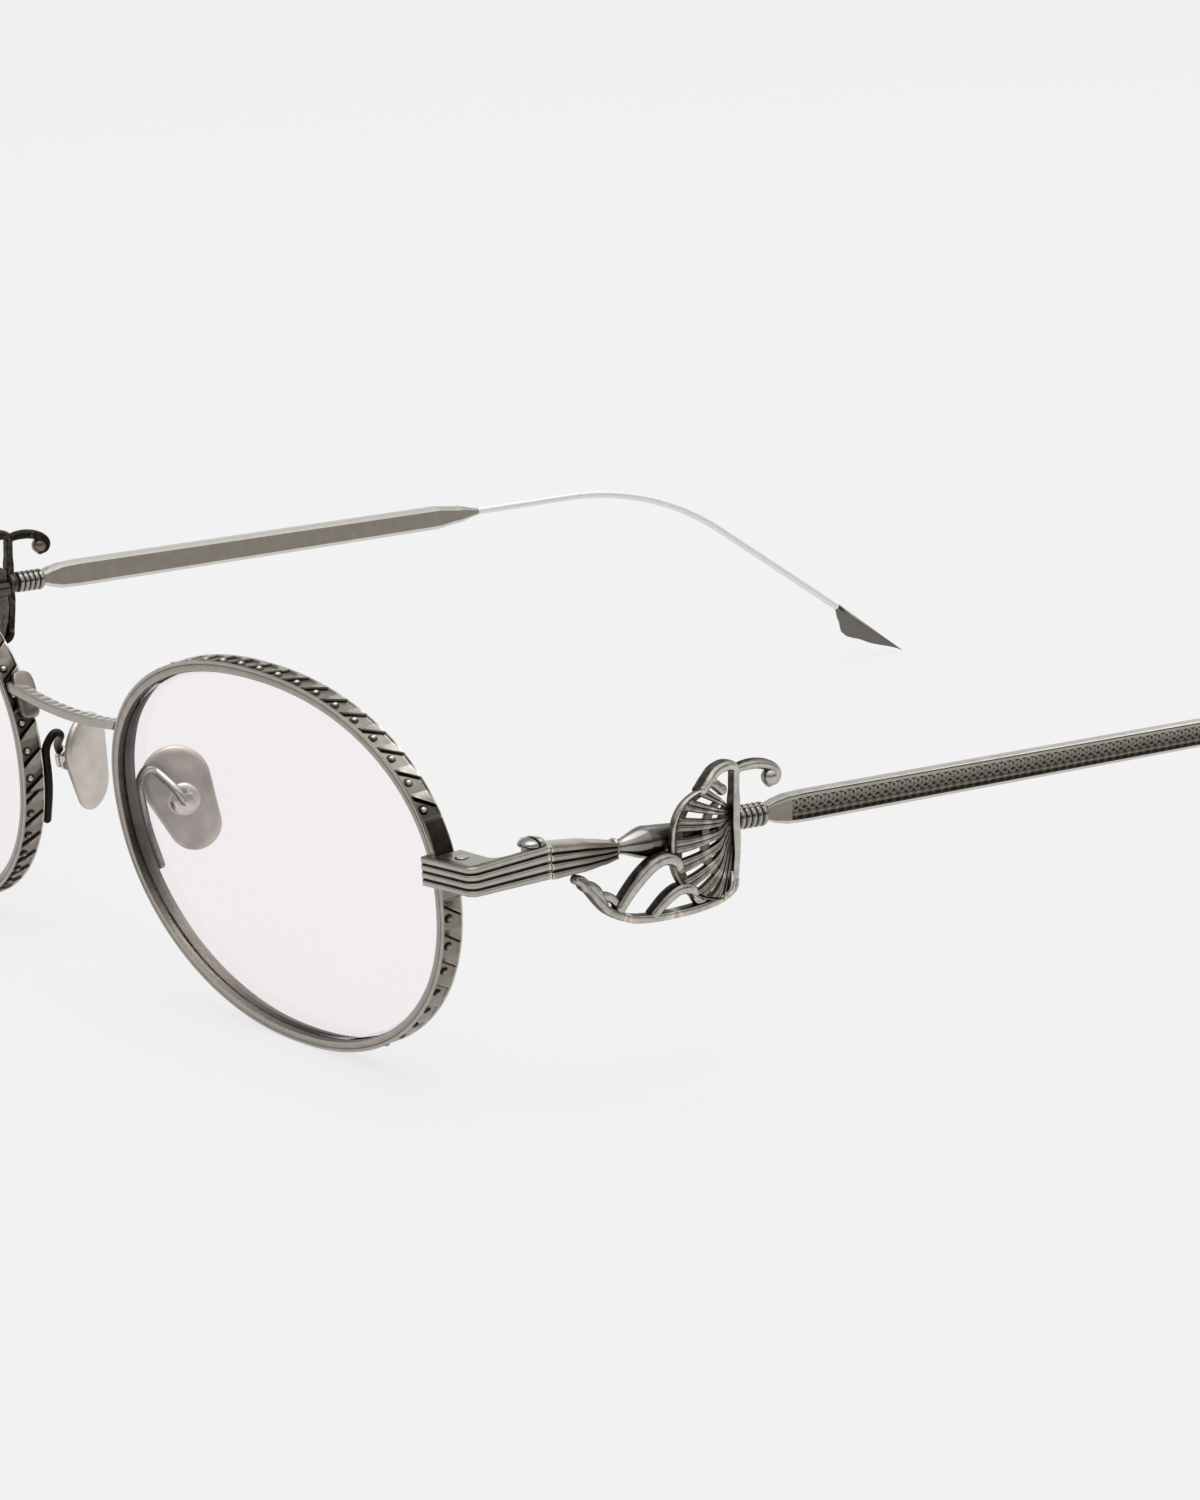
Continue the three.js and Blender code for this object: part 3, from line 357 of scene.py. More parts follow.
def metal(name, plain, roughness, grain, cloud_scale=900.0, dark=OXIDE, bright=BURNISHED):
    """A metal that shows the patina with its own colours."""
    material = bpy.data.materials.new(name)
    material.use_nodes = True
    tree = material.node_tree
    worn = node(tree, "ShaderNodeGroup", {
        "Plain": (*plain, 1), "Dark": (*dark, 1), "Bright": (*bright, 1), "Grain": grain,
        "Cloud Scale": cloud_scale, "Roughness": roughness}, node_tree=patina)
    lump = node(tree, "ShaderNodeBump", {
        "Strength": BUMP_STRENGTH, "Distance": BUMP_HEIGHT, "Height": worn.outputs["Height"]})
    fill(tree, tree.nodes["Principled BSDF"], {
        "Metallic": 1, "Base Color": worn.outputs["Color"], "Roughness": worn.outputs["Roughness"],
        "Normal": lump.outputs["Normal"]})
    return material


aged_silver = metal("aged_silver", (0.255, 0.225, 0.193), roughness=0.27, grain=0.35)
dark_silver = metal("dark_silver", (0.17, 0.157, 0.143), roughness=0.16, grain=0.15)
cast_silver = metal("cast_silver", (0.25, 0.22, 0.188), roughness=0.28, grain=1.1, cloud_scale=1500.0)
wire_silver = metal("wire_silver", (0.84, 0.835, 0.82), roughness=0.6, grain=0.1)
pad_silver = metal(
    "pad_silver", (0.6, 0.545, 0.49), roughness=0.45, grain=2.2, cloud_scale=330.0,
    dark=(0.3, 0.275, 0.26), bright=(0.78, 0.75, 0.71))
finishes = {
    "aged_silver": aged_silver, "dark_silver": dark_silver,
    "bright_wire": wire_silver, "pad_metal": pad_silver}
print("finishes", list(finishes))

# %% [markdown]
# The lenses are so pale that the background shows through almost unchanged, with a trace of pink. Glass
# with its full bending power would pull the far rim out of place, so the shader bends light only a little
# and a clear coat gives the surface its gloss.

# %% Lens finish
lens_glass = bpy.data.materials.new("pale_lens")
lens_glass.use_nodes = True
lens_tree = lens_glass.node_tree
fill(lens_tree, lens_tree.nodes["Principled BSDF"], {
    "Base Color": (1.0, 0.96, 0.972, 1), "Roughness": 0.0, "Transmission Weight": 1, "IOR": 1.06,
    "Coat Weight": 0.5})
finishes["lens"] = lens_glass
print("lens finish made")

# %% [markdown]
# A rim is one bar of metal bent to an oval: a squared ellipse that is a little wider above its middle. Its
# outer band is cut with slanting leaves, one after another like a rope, and each leaf holds a round bead.
# The cuts are real depth here, because they break the outline at the bottom of the rim. Along the band
# the pattern runs down from the brow on both sides of the end piece, which interrupts it.

# %% Rim outline
RIM_HALF_WIDTH = 24.0
RIM_HALF_HEIGHT = 17.25
RIM_SQUARENESS = 2.16
BROW_WIDEN = 0.07
RIM_DEPTH = 2.2
RIM_THICK = 1.0
END_LEVEL = 3.6
RIM_SPLIT = 0.4
RIM_STATIONS = 1900


def rim_angle(level):
    """Outline angle on the temple side at a height above the middle of the rim."""
    return np.sign(level) * np.arcsin(np.abs(level / RIM_HALF_HEIGHT) ** (RIM_SQUARENESS / 2))


def rim_points(angle, grow, depth):
    """Points of the rim: a squared ellipse grown by a margin, widened towards the brow, at a depth
    behind the front plane, then leaned and wrapped."""
    c, s = np.cos(angle), np.sin(angle)
    power = 2 / RIM_SQUARENESS
    rise = (RIM_HALF_HEIGHT + grow) * np.sign(s) * np.abs(s) ** power
    across = (RIM_HALF_WIDTH + grow) * np.sign(c) * np.abs(c) ** power
    across = across * (1 + BROW_WIDEN * rise / RIM_HALF_HEIGHT)
    return placed(xyz(across, depth, rise), rim_turn, rim_middle)


def even_angles(first, last, count):
    """Angles whose points are evenly spaced along the outline, and the distance from the first."""
    fine = np.linspace(first, last, 8000)
    spots = rim_points(fine, 0.0, RIM_DEPTH / 2)
    run = np.concatenate([[0], np.cumsum(np.linalg.norm(np.diff(spots, axis=0), axis=1))])
    distance = np.linspace(0, run[-1], count)
    return np.interp(distance, run, fine), distance


rim_start = rim_angle(END_LEVEL + RIM_SPLIT / 2)
rim_stop = rim_angle(END_LEVEL - RIM_SPLIT / 2) + 2 * np.pi
stations, travel = even_angles(rim_start, rim_stop, RIM_STATIONS)
rim_length = travel[-1]
print("rim length", round(rim_length, 1), "mm")

# %% Leaf cuts and beads
LEAF_PITCH = 2.7
LEAF_SLANT = 0.74
LEAF_DEPTH = 0.22
LEAF_TOP = 0.985
FACET_FRONT = 0.94
FACET_SPREAD = 0.5
CREASE_PHASE = 0.03
CREASE_WIDE = 0.075
CREASE_TAPER = 0.04
CREASE_DEPTH = 0.1
BEAD_RADIUS = 0.34
BEAD_DEPTH = 0.75
BEAD_PHASE = 0.39
BEAD_RING = 0.14
FIRST_BEAD_UP = 5.05
FIRST_BEAD_DOWN = 4.33
BAND_FRONT = 0.2
BAND_BACK = 2.02
BAND_EASE = 0.06
NOTCH_AT = 1.6
NOTCH_DEPTH = 0.15


def leaf_tone(upper, run, phase, ramp, crease):
    """Tone of a leaf: dark in the crease, partly oxide in the cut and partly painted shadow under its step,
    and bright on the facet and along its top. On the upper half the brow carries a painted highlight and
    the band painted light, the end next to the end piece is darker, and a painted shadow darkens the low
    floor after each crease."""
    # Painted highlight on the brow and painted light along the upper band.
    brow = upper * smooth_step(46, 34, run)
    upper_band_light = 0.3 * smooth_step(5, 9, run) * smooth_step(36, 26, run)
    end = 0.6 * smooth_step(6.6, 5.2, run)
    # Painted shadow on the low floor just after each crease.
    hollow = 0.6 * smooth_step(14, 26, run) * smooth_step(0.5, 0.2, phase)
    raised = smooth_step(0, 0.12, ramp)
    ground = upper * (upper_band_light - end - hollow * (1 - raised)) - 0.12
    facet = (0.15 + 0.6 * brow) * raised + 0.35 * smooth_step(0.9, 1, ramp)
    # The crease's dark is partly oxide in the cut and partly painted shadow, deeper under the brow's highlight.
    return ground + facet - (1.0 + 0.35 * brow) * crease


def leaf_relief(run, depth):
    """Height and tone of the band. Phase counts leaves along the band, sheared by depth: each leaf drops
    at a crease, stays low past its bead and ramps up in a facet that widens towards the back. A bead is a
    sphere's cap in a dark ring. Beside the end piece the band is plain, with one dark notch below it."""
    upper = run < rim_length / 2
    below = rim_length - run
    first = np.where(upper, FIRST_BEAD_UP, rim_length - FIRST_BEAD_DOWN)
    along = (first - run) / LEAF_PITCH
    phase = np.mod(along - LEAF_SLANT * (depth - BEAD_DEPTH) / LEAF_PITCH + BEAD_PHASE, 1)
    share = np.clip((depth - BAND_FRONT) / (BAND_BACK - BAND_FRONT), 0, 1)
    facet = FACET_FRONT - FACET_SPREAD * share
    ramp = np.clip((phase - facet) / (LEAF_TOP - facet), 0, 1)
    crease = np.exp(-((phase - CREASE_PHASE) / (CREASE_WIDE - CREASE_TAPER * share)) ** 2)
    gap = np.hypot((along - np.round(along)) * LEAF_PITCH, depth - BEAD_DEPTH)
    bead = np.sqrt(np.clip(BEAD_RADIUS ** 2 - gap ** 2, 0, None))
    ring = smooth_step(BEAD_RADIUS + BEAD_RING, BEAD_RADIUS + 0.02, gap)
    on_bead = gap < BEAD_RADIUS
    height = np.where(on_bead, bead - LEAF_DEPTH, LEAF_DEPTH * (ramp - 1) - CREASE_DEPTH * crease)
    leaf = leaf_tone(upper, run, phase, ramp, crease) - 0.85 * ring
    # Beads on the lower half are painted darker, as painted shade.
    tone = np.where(on_bead, 2.2 * bead / BEAD_RADIUS - 2.0 + 0.6 * upper, leaf)
    notch = ~upper & (below > NOTCH_AT - 0.55 * share) & (below < NOTCH_AT + 0.75 * share)
    plain = np.where(upper, -0.92, np.where(notch, -0.85, -0.05))
    carved = np.where(upper, smooth_step(3.9, 4.3, run), smooth_step(2.4, 2.7, below))
    inside = smooth_step(BAND_FRONT - BAND_EASE, BAND_FRONT + BAND_EASE, depth)
    inside = inside * smooth_step(BAND_BACK + BAND_EASE, BAND_BACK - BAND_EASE, depth)
    edge = np.where(depth > RIM_DEPTH / 2, 0.75, 0.15)
    height = inside * (carved * height - (1 - carved) * NOTCH_DEPTH * notch)
    tone = inside * (carved * tone + (1 - carved) * plain) + (1 - inside) * edge
    return height, tone


print("leaves on a rim", int(rim_length / LEAF_PITCH))

# %% Rims
# Growth, depth and tone of the profile from the band's back edge, round the inside, to its front edge.
# The inner wall's dark tones are partly oxide and partly painted shade.
rim_profile = np.array([
    [-0.1, 2.2, 1.15], [-0.9, 2.2, 0], [-1.0, 2.1, -0.7], [-1.0, 1.58, -0.85], [-0.6, 1.1, -1],
    [-1.0, 0.62, -0.85], [-1.0, 0.1, -0.65], [-0.9, 0.0, 0.3], [-0.42, 0.0, 0.1], [-0.39, 0.03, -0.3],
    [-0.33, 0.03, -0.3], [-0.3, 0.0, 0.15], [-0.1, 0.0, 0.4]])


def rim_surface():
    """A closed profile carried round the outline: the cut band, a plain back, the grooved inner wall and
    a front face with one fine line in it. Sections slant with the leaves, which keeps the creases crisp.
    The inner wall is dark, partly oxide and partly painted shade, and it is painted lighter low on the
    nasal side, where it faces up to the light."""
    band = np.linspace(0.1, RIM_DEPTH - 0.1, 34)
    inset, back, tone = rim_profile.T
    depth = np.concatenate([band, back])
    from_end = np.minimum(travel, rim_length - travel)[:, None]
    run = travel[:, None] + LEAF_SLANT * (BEAD_DEPTH - depth) * smooth_step(0.4, 2.2, from_end)
    height, band_tone = leaf_relief(run[:, :len(band)], band)
    # Painted light on the inner wall, low on the nasal side, where it faces up.
    low = smooth_step(3.4, 3.9, stations) * smooth_step(4.85, 4.45, stations)
    inner_wall = (inset < -0.5) & (tone < 0)
    tone = tone + 0.7 * low[:, None] * inner_wall
    grow = np.concatenate([height, np.broadcast_to(inset, tone.shape)], axis=1)
    angle = np.interp(run, travel, stations)
    return skin(rim_points(angle, grow, depth), np.concatenate([band_tone, tone], axis=1))


both_sides("rim", [rim_surface()], aged_silver, "front", crease=30)

# %% [markdown]
# A lens is a shallow bowl with a V edge that sits in the rim's groove. Rings of the same oval shrink
# towards the middle, and the bowl's depth falls with the square of the distance from it.

# %% Lenses
LENS_THICK = 1.4
LENS_CROWN = 0.5
LENS_EDGE = -0.8
LENS_SHOULDER = -1.25


def lens_surface():
    """Rings from the front's middle over the V edge to the back's middle. A ring's depth is half the
    thickness either way, less the crown times one minus its share squared."""
    shares = np.array([0.02, 0.2, 0.4, 0.6, 0.8, 0.93, 1.0])
    angle = full_turn(160)
    edge = rim_points(angle, LENS_SHOULDER, 0.0)
    middle = placed(np.zeros(3), rim_turn, rim_middle)
    depth_way = rim_turn[:, 1]

    def face(share, offset):
        """Rings of one face at an offset from the middle of the rim's depth."""
        crown = -LENS_CROWN * (1 - share ** 2)
        ring = middle + (edge - middle) * share[:, None, None]
        return ring + (RIM_DEPTH / 2 + offset + crown)[:, None, None] * depth_way

    lip = rim_points(angle, LENS_EDGE, RIM_DEPTH / 2)[None]
    return skin(np.concatenate([face(shares, -LENS_THICK / 2), lip, face(shares[::-1], LENS_THICK / 2)]))


both_sides("lens", [lens_surface()], lens_glass, "front", crease=30)

# %% [markdown]
# The bridge is a bar that sags between the rims. Its top is milled into a row of small rounds, and a
# rounded plate on each rim's nasal side backs its end. The ends follow the rim, so the bar's half length
# is worked out for each point of its section from the outline at that height.

# %% Bridge
BRIDGE_LEVEL = 7.7
BRIDGE_SAG = 0.7
BRIDGE_TALL = 0.9
BRIDGE_DEEP = 1.5
MILL_PITCH = 1.3
MILL_DEPTH = 0.2
SOLDER_GAP = 0.1
FOOT_UP = 1.3
FOOT_DOWN = 2.7
FOOT_DEEP = 1.0
FOOT_BACK = 0.7
FOOT_THICK = 0.6


def nasal_edge(depth_place, height_place):
    """How far out the rim's nasal side is at a place behind and above the front's origin."""
    level = height_place * np.cos(face_tilt) - depth_place * np.sin(face_tilt)
    return rim_points(np.pi - rim_angle(level), 0.0, RIM_DEPTH)[..., 0] - SOLDER_GAP


bridge_seat = rim_points(np.pi - rim_angle(BRIDGE_LEVEL), 0.0, RIM_DEPTH / 2) - front_origin


def bridge_bar():
    """A rounded oblong carried across the nose on a parabola. The top half of the section rises and falls
    with a rectified sine along the bar, which makes the milled rounds."""
    share = np.linspace(-1, 1, 420)[:, None]
    c, s = rounded(full_turn(48), 0.4)
    y = bridge_seat[1] + BRIDGE_DEEP / 2 * c * (1 + 0.2 * share ** 6)
    z = bridge_seat[2] + BRIDGE_SAG * (share ** 2 - 1) + BRIDGE_TALL / 2 * s * (1 + 0.1 * share ** 6)
    x = share * nasal_edge(y, z)
    wave = np.abs(np.sin(np.pi * x / MILL_PITCH))
    on_top = smooth_step(0.55, 0.95, s) * smooth_step(-0.75, -0.2, c)
    on_top = on_top * smooth_step(0.98, 0.92, np.abs(share))
    z = z - on_top * MILL_DEPTH * (1 - wave ** 0.6)
    relief = on_top * (1.7 * wave - 0.9) + 0.3 - 0.9 * smooth_step(0.955, 0.99, np.abs(share))
    return skin(xyz(x, y, z) + front_origin, relief)


def bridge_foot():
    """A rounded plate on the rim's nasal side behind the bar: a rounded oblong swept inwards by its
    thickness, longer below the bar than above it."""
    inward = FOOT_THICK * np.array([0, 0.1, 0.8, 1])[:, None]
    shrink = np.array([0.94, 1, 1, 0.86])[:, None]
    c, s = rounded(full_turn(48), 0.5)
    y = bridge_seat[1] + FOOT_BACK + FOOT_DEEP * shrink * c
    z = bridge_seat[2] + (FOOT_UP - FOOT_DOWN) / 2 + (FOOT_UP + FOOT_DOWN) / 2 * shrink * s
    x = nasal_edge(y, z) - inward
    return skin(xyz(x, y, z) + front_origin, 0.1 - 0.1 * s)


foot = bridge_foot()
piece("bridge_shape", [bridge_bar(), foot, mirrored(foot)], aged_silver, "front", ["bridge"])
print("bridge length", round(2 * bridge_seat[0], 1), "mm")

# %% [markdown]
# The end piece carries the ribs that give the front its corner: four cushioned ribs run along the front,
# round the corner and back to the hinge. The ribbed wall is one profile carried along that bent path, a
# plate behind it closes the top, and two ears hold the hinge. Heights grow a little towards the hinge.

# %% End piece values
END_WIDTH = 6.1
END_DEPTH = 9.05
END_INSET = 1.4
END_LEAD = 0.95
END_SWEEP = np.radians(8.8)
END_PROUD = 1.25
RIM_OVERLAP = 0.65
END_CORNER = 1.05
END_TALL_FRONT = 2.5
END_TALL_HINGE = 2.95
END_HALF = END_TALL_HINGE / 2
END_FRONT_X = END_INSET - END_WIDTH
END_FRONT_Y = END_LEAD - END_DEPTH
RIB_COUNT = 4
RIB_GROOVE = 0.15
RIB_DEPTH = 0.2
RIB_ROUND = 0.16


def height_share(y):
    """The end piece's height at a place, as a share of its height at the hinge."""
    share = (y - END_FRONT_Y) / END_DEPTH
    return (END_TALL_FRONT + (END_TALL_HINGE - END_TALL_FRONT) * share) / END_TALL_HINGE


def rib_face(share):
    """How far a ribbed face lies in, and its tone, for heights given as shares from -1 to 1. Within one
    pitch a rib is a flat cushion and the rest is a groove."""
    pitch = (2 + RIB_GROOVE / END_HALF) / RIB_COUNT
    place = np.mod(share + 1, pitch) / pitch
    rib = 1 - RIB_GROOVE / END_HALF / pitch
    cushion = np.abs(2 * place / rib - 1)
    in_groove = place > rib
    inward = np.where(in_groove, RIB_DEPTH, RIB_ROUND * cushion ** 4)
    tone = np.where(in_groove, -0.95, 0.42 - 0.75 * cushion ** 4)
    return inward, tone


rib_levels = np.sort(np.concatenate([np.linspace(-1, 1, 121), [0.9999, -0.9999]]))
print("rib pitch", round(2 * END_HALF / RIB_COUNT, 2), "mm")

# %% End piece wall and plate
WALL_FRONT = 0.95
WALL_CORNER = 0.75
WALL_SIDE = 0.65
WORN_EDGE = 0.12
SCOOP = 1.6
SCOOP_BACK = 0.25


def end_wall():
    """The ribbed profile carried along a straight front, a quarter bend and a straight side. The plating
    is worn through where the wall meets the temple."""
    corner = np.array([END_INSET, END_FRONT_Y + END_WIDTH * np.tan(END_SWEEP)])
    way = np.array([np.cos(END_SWEEP), np.sin(END_SWEEP)])
    bend = np.pi / 2 - END_SWEEP
    begin = corner - way * END_CORNER * np.tan(bend / 2)
    middle = begin + END_CORNER * np.array([-way[1], way[0]])
    turn = END_SWEEP + bend * np.linspace(0, 1, 17)
    arc = middle + END_CORNER * np.column_stack([np.sin(turn), -np.cos(turn)])
    front = np.array([END_FRONT_X, END_FRONT_Y])
    front_run = front + (begin - front) * np.array([0, 0.012, 0.04, 0.5])[:, None]
    stops = arc[-1, 1] + (END_LEAD - arc[-1, 1]) * np.array([0.2, 0.4, 0.6, 0.8, 0.92, 0.96, 0.985, 1])
    side_run = np.column_stack([np.full(len(stops), END_INSET), stops])
    path = np.concatenate([front_run, arc, side_run])
    counts = [len(front_run), len(arc), len(side_run)]
    angle = np.concatenate([np.full(counts[0], END_SWEEP), turn, np.full(counts[2], np.pi / 2)])
    thick = np.repeat([WALL_FRONT, WALL_CORNER, WALL_SIDE], counts)[:, None]
    ease = np.concatenate([[0.14, 0.05], np.zeros(len(path) - 2)])[:, None]
    inward, tone = rib_face(rib_levels)
    lay = np.concatenate([np.maximum(inward, ease), thick, thick], axis=1)
    level = np.concatenate([rib_levels, [1, -1]]) * END_HALF
    x = path[:, :1] - lay * np.sin(angle)[:, None]
    y = path[:, 1:] + lay * np.cos(angle)[:, None]
    worn = np.exp(-((END_LEAD - path[:, 1:]) / WORN_EDGE) ** 2)
    relief = np.concatenate([tone, [0.35, -0.4]]) + 1.3 * worn
    return skin(on_end_piece(xyz(x, y, level * height_share(y))), relief)


def end_plate():
    """The top behind the wall, between a left edge that is scooped out for the folding temple and a right
    edge inside the wall. Both edges are paths of as many points, and rows join them."""
    rim_side = END_FRONT_X + WALL_FRONT
    rim_back = END_FRONT_Y + END_PROUD + RIM_DEPTH
    arm = END_INSET - WALL_SIDE
    scoop_y = rim_back + SCOOP_BACK
    t = np.linspace(0, 1, 12)[:, None]
    bend = np.array([[arm - SCOOP, scoop_y], [arm, scoop_y], [arm, scoop_y + SCOOP]])
    left_bend = np.concatenate([(1 - t) ** 2, 2 * t * (1 - t), t ** 2], axis=1) @ bend
    left = np.concatenate([[[rim_side, END_FRONT_Y + 0.7], [rim_side, rim_back]], left_bend])
    right_side = np.linspace(END_FRONT_Y + 2.6, scoop_y + SCOOP, len(t))
    right = np.concatenate([
        [[rim_side + 0.4, END_FRONT_Y + 0.75], [arm + 0.2, END_FRONT_Y + 1.7]],
        np.column_stack([np.full(len(t), arm + 0.2), right_side])])
    across = np.linspace(0, 1, 9)[None, :, None]
    plan = left[:, None] * (1 - across) + right[:, None] * across
    share = height_share(plan[..., 1:])
    top = np.concatenate([plan, END_HALF * share], axis=-1)
    low = np.concatenate([plan, 0.15 * np.ones_like(share)], axis=-1)
    return slab(on_end_piece(top), on_end_piece(low), relief=0.42)


print("wall", len(end_wall()[1]), "quads, plate", len(end_plate()[1]), "quads")

# %% End piece ears and screw end
EAR_RADIUS = 0.9
EAR_ROUND = 0.06
EAR_LOW = 0.53
SEAM_BEAD_RADIUS = 0.24


def turned(profile, sides=48):
    """A surface of revolution about Z: rings with the profile's radius at the profile's height."""
    turn = full_turn(sides)
    radius, height = profile[:, :1], profile[:, 1:2]
    return xyz(radius * np.cos(turn), radius * np.sin(turn), height)


def prism(plan, low, high):
    """A flat outline raised from one height to another."""
    return xyz(plan[:, 0], plan[:, 1], np.array([[low], [high]]))


def hinge_ears():
    """Two short pillars with rounded edges on the hinge axis, and the webs that join them to the wall."""
    parts = []
    slim = EAR_RADIUS - EAR_ROUND
    web = np.array([[0, -0.9], [0.8, -0.9], [0.8, END_LEAD], [0, END_LEAD]])
    for low, high in ((EAR_LOW, END_HALF), (-END_HALF, -EAR_LOW)):
        profile = np.array([
            [slim, low], [EAR_RADIUS, low + EAR_ROUND], [EAR_RADIUS, high - EAR_ROUND], [slim, high]])
        parts.append(skin(on_end_piece(turned(profile)), 0.1))
        parts.append(skin(on_end_piece(prism(web, low, high - 0.001)), 0.3))
    return parts


def pin_end():
    """The end of the rim screw where it shows in the top: a low round disc in a dark ring. The profile
    holds radius, height and tone."""
    spot = np.array([(END_FRONT_X + RIM_OVERLAP + 0.4) / 2, END_FRONT_Y + END_PROUD + RIM_DEPTH - 1.15])
    profile = np.array([
        [0.64, -0.05, -0.9], [0.62, 0.012, -0.95], [0.54, 0.012, -1], [0.52, 0.05, -0.3],
        [0.46, 0.085, 0.6], [0.02, 0.095, 0.5]])
    ring = turned(profile, 40) + [*spot, END_HALF * height_share(spot[1])]
    return skin(on_end_piece(ring), profile[:, 2:])


def seam_bead():
    """The dark bead in the seam beside the hinge screw: a small ball."""
    turn = np.linspace(0, np.pi, 14)
    ball = turned(SEAM_BEAD_RADIUS * np.column_stack([np.sin(turn).clip(0.03), -np.cos(turn)]), 24)
    return skin(on_end_piece(ball + [0.55, END_LEAD - 0.1, END_HALF]), -0.7)


end_parts = [end_wall(), end_plate(), *hinge_ears(), pin_end(), seam_bead()]
both_sides("end_piece", end_parts, aged_silver, "front", crease=28)

# %% [markdown]
# The hinge screw has a domed head with one slot. A dome is a grid of strips across the slot, so the
# slot's two edges fall on grid lines and stay crisp.

# %% Hinge screw
HEAD_RADIUS = 1.2
HEAD_TALL = 0.62
HEAD_RIM = 0.1
HEAD_TRIM = 0.985
SLOT_WIDTH = 0.26
SLOT_DEPTH = 0.26
SLOT_TURN = np.radians(-86)
SHANK_RADIUS = 0.4


def screw_head(seat):
    """Strips across the slot, each as long as the circle is wide there. Height is a flattened dome, and
    strips between the slot's edges lie lower."""
    half = SLOT_WIDTH / 2
    edge = HEAD_TRIM * HEAD_RADIUS
    x = np.concatenate([
        np.linspace(-edge, -half, 14), [-half + 0.01, 0, half - 0.01], np.linspace(half, edge, 14)])
    share = np.sin(np.linspace(-np.pi / 2, np.pi / 2, 25))
    span = np.sqrt(HEAD_RADIUS ** 2 - x ** 2)[:, None]
    grid_x, grid_y = np.broadcast_arrays(x[:, None], span * share)
    reach = np.hypot(grid_x, grid_y) / HEAD_RADIUS
    dome = seat + HEAD_RIM + (HEAD_TALL - HEAD_RIM) * np.sqrt(np.clip(1 - reach ** 2, 0, 1))
    in_slot = np.abs(grid_x) < half - 0.005
    top = xyz(grid_x, grid_y, np.where(in_slot, seat + HEAD_TALL - SLOT_DEPTH, dome))
    base = xyz(grid_x, grid_y, seat)
    turn = turn_z(SLOT_TURN).T
    return slab(on_end_piece(top @ turn), on_end_piece(base @ turn), relief=np.where(in_slot, -1.0, 0.3))


seat = END_HALF * height_share(0.0) + SOLDER_GAP
shank = turned(np.array([[SHANK_RADIUS, -seat], [SHANK_RADIUS, seat + 0.05]]), 24)
screw_parts = [screw_head(seat), skin(on_end_piece(shank), -0.5)]
both_sides("hinge_screw", screw_parts, dark_silver, "front")

# %% [markdown]
# The temple starts with a block on which the end piece's ribs run on, gathered towards a narrow neck. It
# is the same ribbed profile, with its height, width and middle given along the block by smooth curves.

# %% Hinge block
BLOCK_START = 1.05
BLOCK_LENGTH = 7.0
BLOCK_WIDTH = 2.4
BLOCK_END_WIDTH = 1.9
BLOCK_END_TALL = 1.4
BLOCK_DROP = 0.04
TONGUE_RADIUS = 0.8
TONGUE_BACK = 1.9
TONGUE_HALF = 0.4


def eased(knots, values, at):
    """A smooth curve through a few values: each stretch follows a cubic with level ends blended half and
    half with a straight line."""
    knots, values = np.asarray(knots, float), np.asarray(values, float)
    k = np.clip(np.searchsorted(knots, at, side="right") - 1, 0, len(knots) - 2)
    share = np.clip((at - knots[k]) / (knots[k + 1] - knots[k]), 0, 1)
    bent = 0.5 * share + 0.5 * share * share * (3 - 2 * share)
    return values[k] + (values[k + 1] - values[k]) * bent


def hinge_block():
    """Rings along the block: a ribbed outer side, a crowned top and a plain inner side. The start is worn
    through to the brass and the neck is darker."""
    share = np.concatenate([[0, 0.008, 0.02, 0.04], np.linspace(0.06, 1, 40)])
    y = BLOCK_START + BLOCK_LENGTH * share
    stops = [0, 0.5, 0.8, 1]
    half = eased(stops, [END_HALF, 0.84 * END_HALF, 0.64 * END_HALF, BLOCK_END_TALL / 2], share)[:, None]
    mid = eased(stops, [0, -BLOCK_DROP / 2, -BLOCK_DROP, -BLOCK_DROP], share)[:, None]
    width = eased(stops, [BLOCK_WIDTH, BLOCK_WIDTH, 0.93 * BLOCK_WIDTH, BLOCK_END_WIDTH], share)[:, None]
    inward, tone = rib_face(rib_levels)
    crown = np.linspace(0, 1, 11)[1:-1]
    ribs = np.broadcast_to(inward, (len(share), len(inward)))
    lay = np.concatenate([ribs, RIB_ROUND + (width - 0.3) * crown, width, width], axis=1)
    lift = 0.14 * (1 - (2 * crown - 1) ** 2) * np.sin(np.pi * np.minimum(1, 0.15 + share))[:, None]
    level = np.concatenate([half * rib_levels, half + lift, 0.88 * half, -0.88 * half], axis=1)
    outer = END_INSET - (BLOCK_WIDTH - width) / 2
    lean = np.tan(hinge_pitch) * (1 - smooth_step(0, 0.35, share))[:, None]
    worn = np.exp(-(share * BLOCK_LENGTH / WORN_EDGE) ** 2)[:, None]
    relief = np.concatenate([tone - 0.2, np.full(len(crown), 0.5), [0.2, -0.2]]) + 1.5 * worn
    relief = relief - 0.55 * smooth_step(0.3, 0.85, share)[:, None]
    return skin(on_temple(xyz(outer - lay, y[:, None] - lean * level, mid + level)), relief)


def hinge_tongue():
    """The eye that sits between the end piece's ears: a rounded bar from the axis back into the block."""
    turn = np.linspace(np.pi, 2 * np.pi, 20)
    nose = TONGUE_RADIUS * np.column_stack([np.cos(turn), np.sin(turn)])
    plan = np.concatenate([nose, [[TONGUE_RADIUS, TONGUE_BACK], [-TONGUE_RADIUS, TONGUE_BACK]]])
    return skin(on_temple(prism(plan, -TONGUE_HALF, TONGUE_HALF) @ end_turn.T), -0.4)


both_sides("hinge_block", [hinge_block(), hinge_tongue()], aged_silver, "temple", crease=28)

# %% [markdown]
# Behind the block the temple is turned on a lathe: a thin neck with a lip, a trumpet that flares to a crisp
# edge, and a stem that thins away under the guard. The axis rises a little towards the blade.

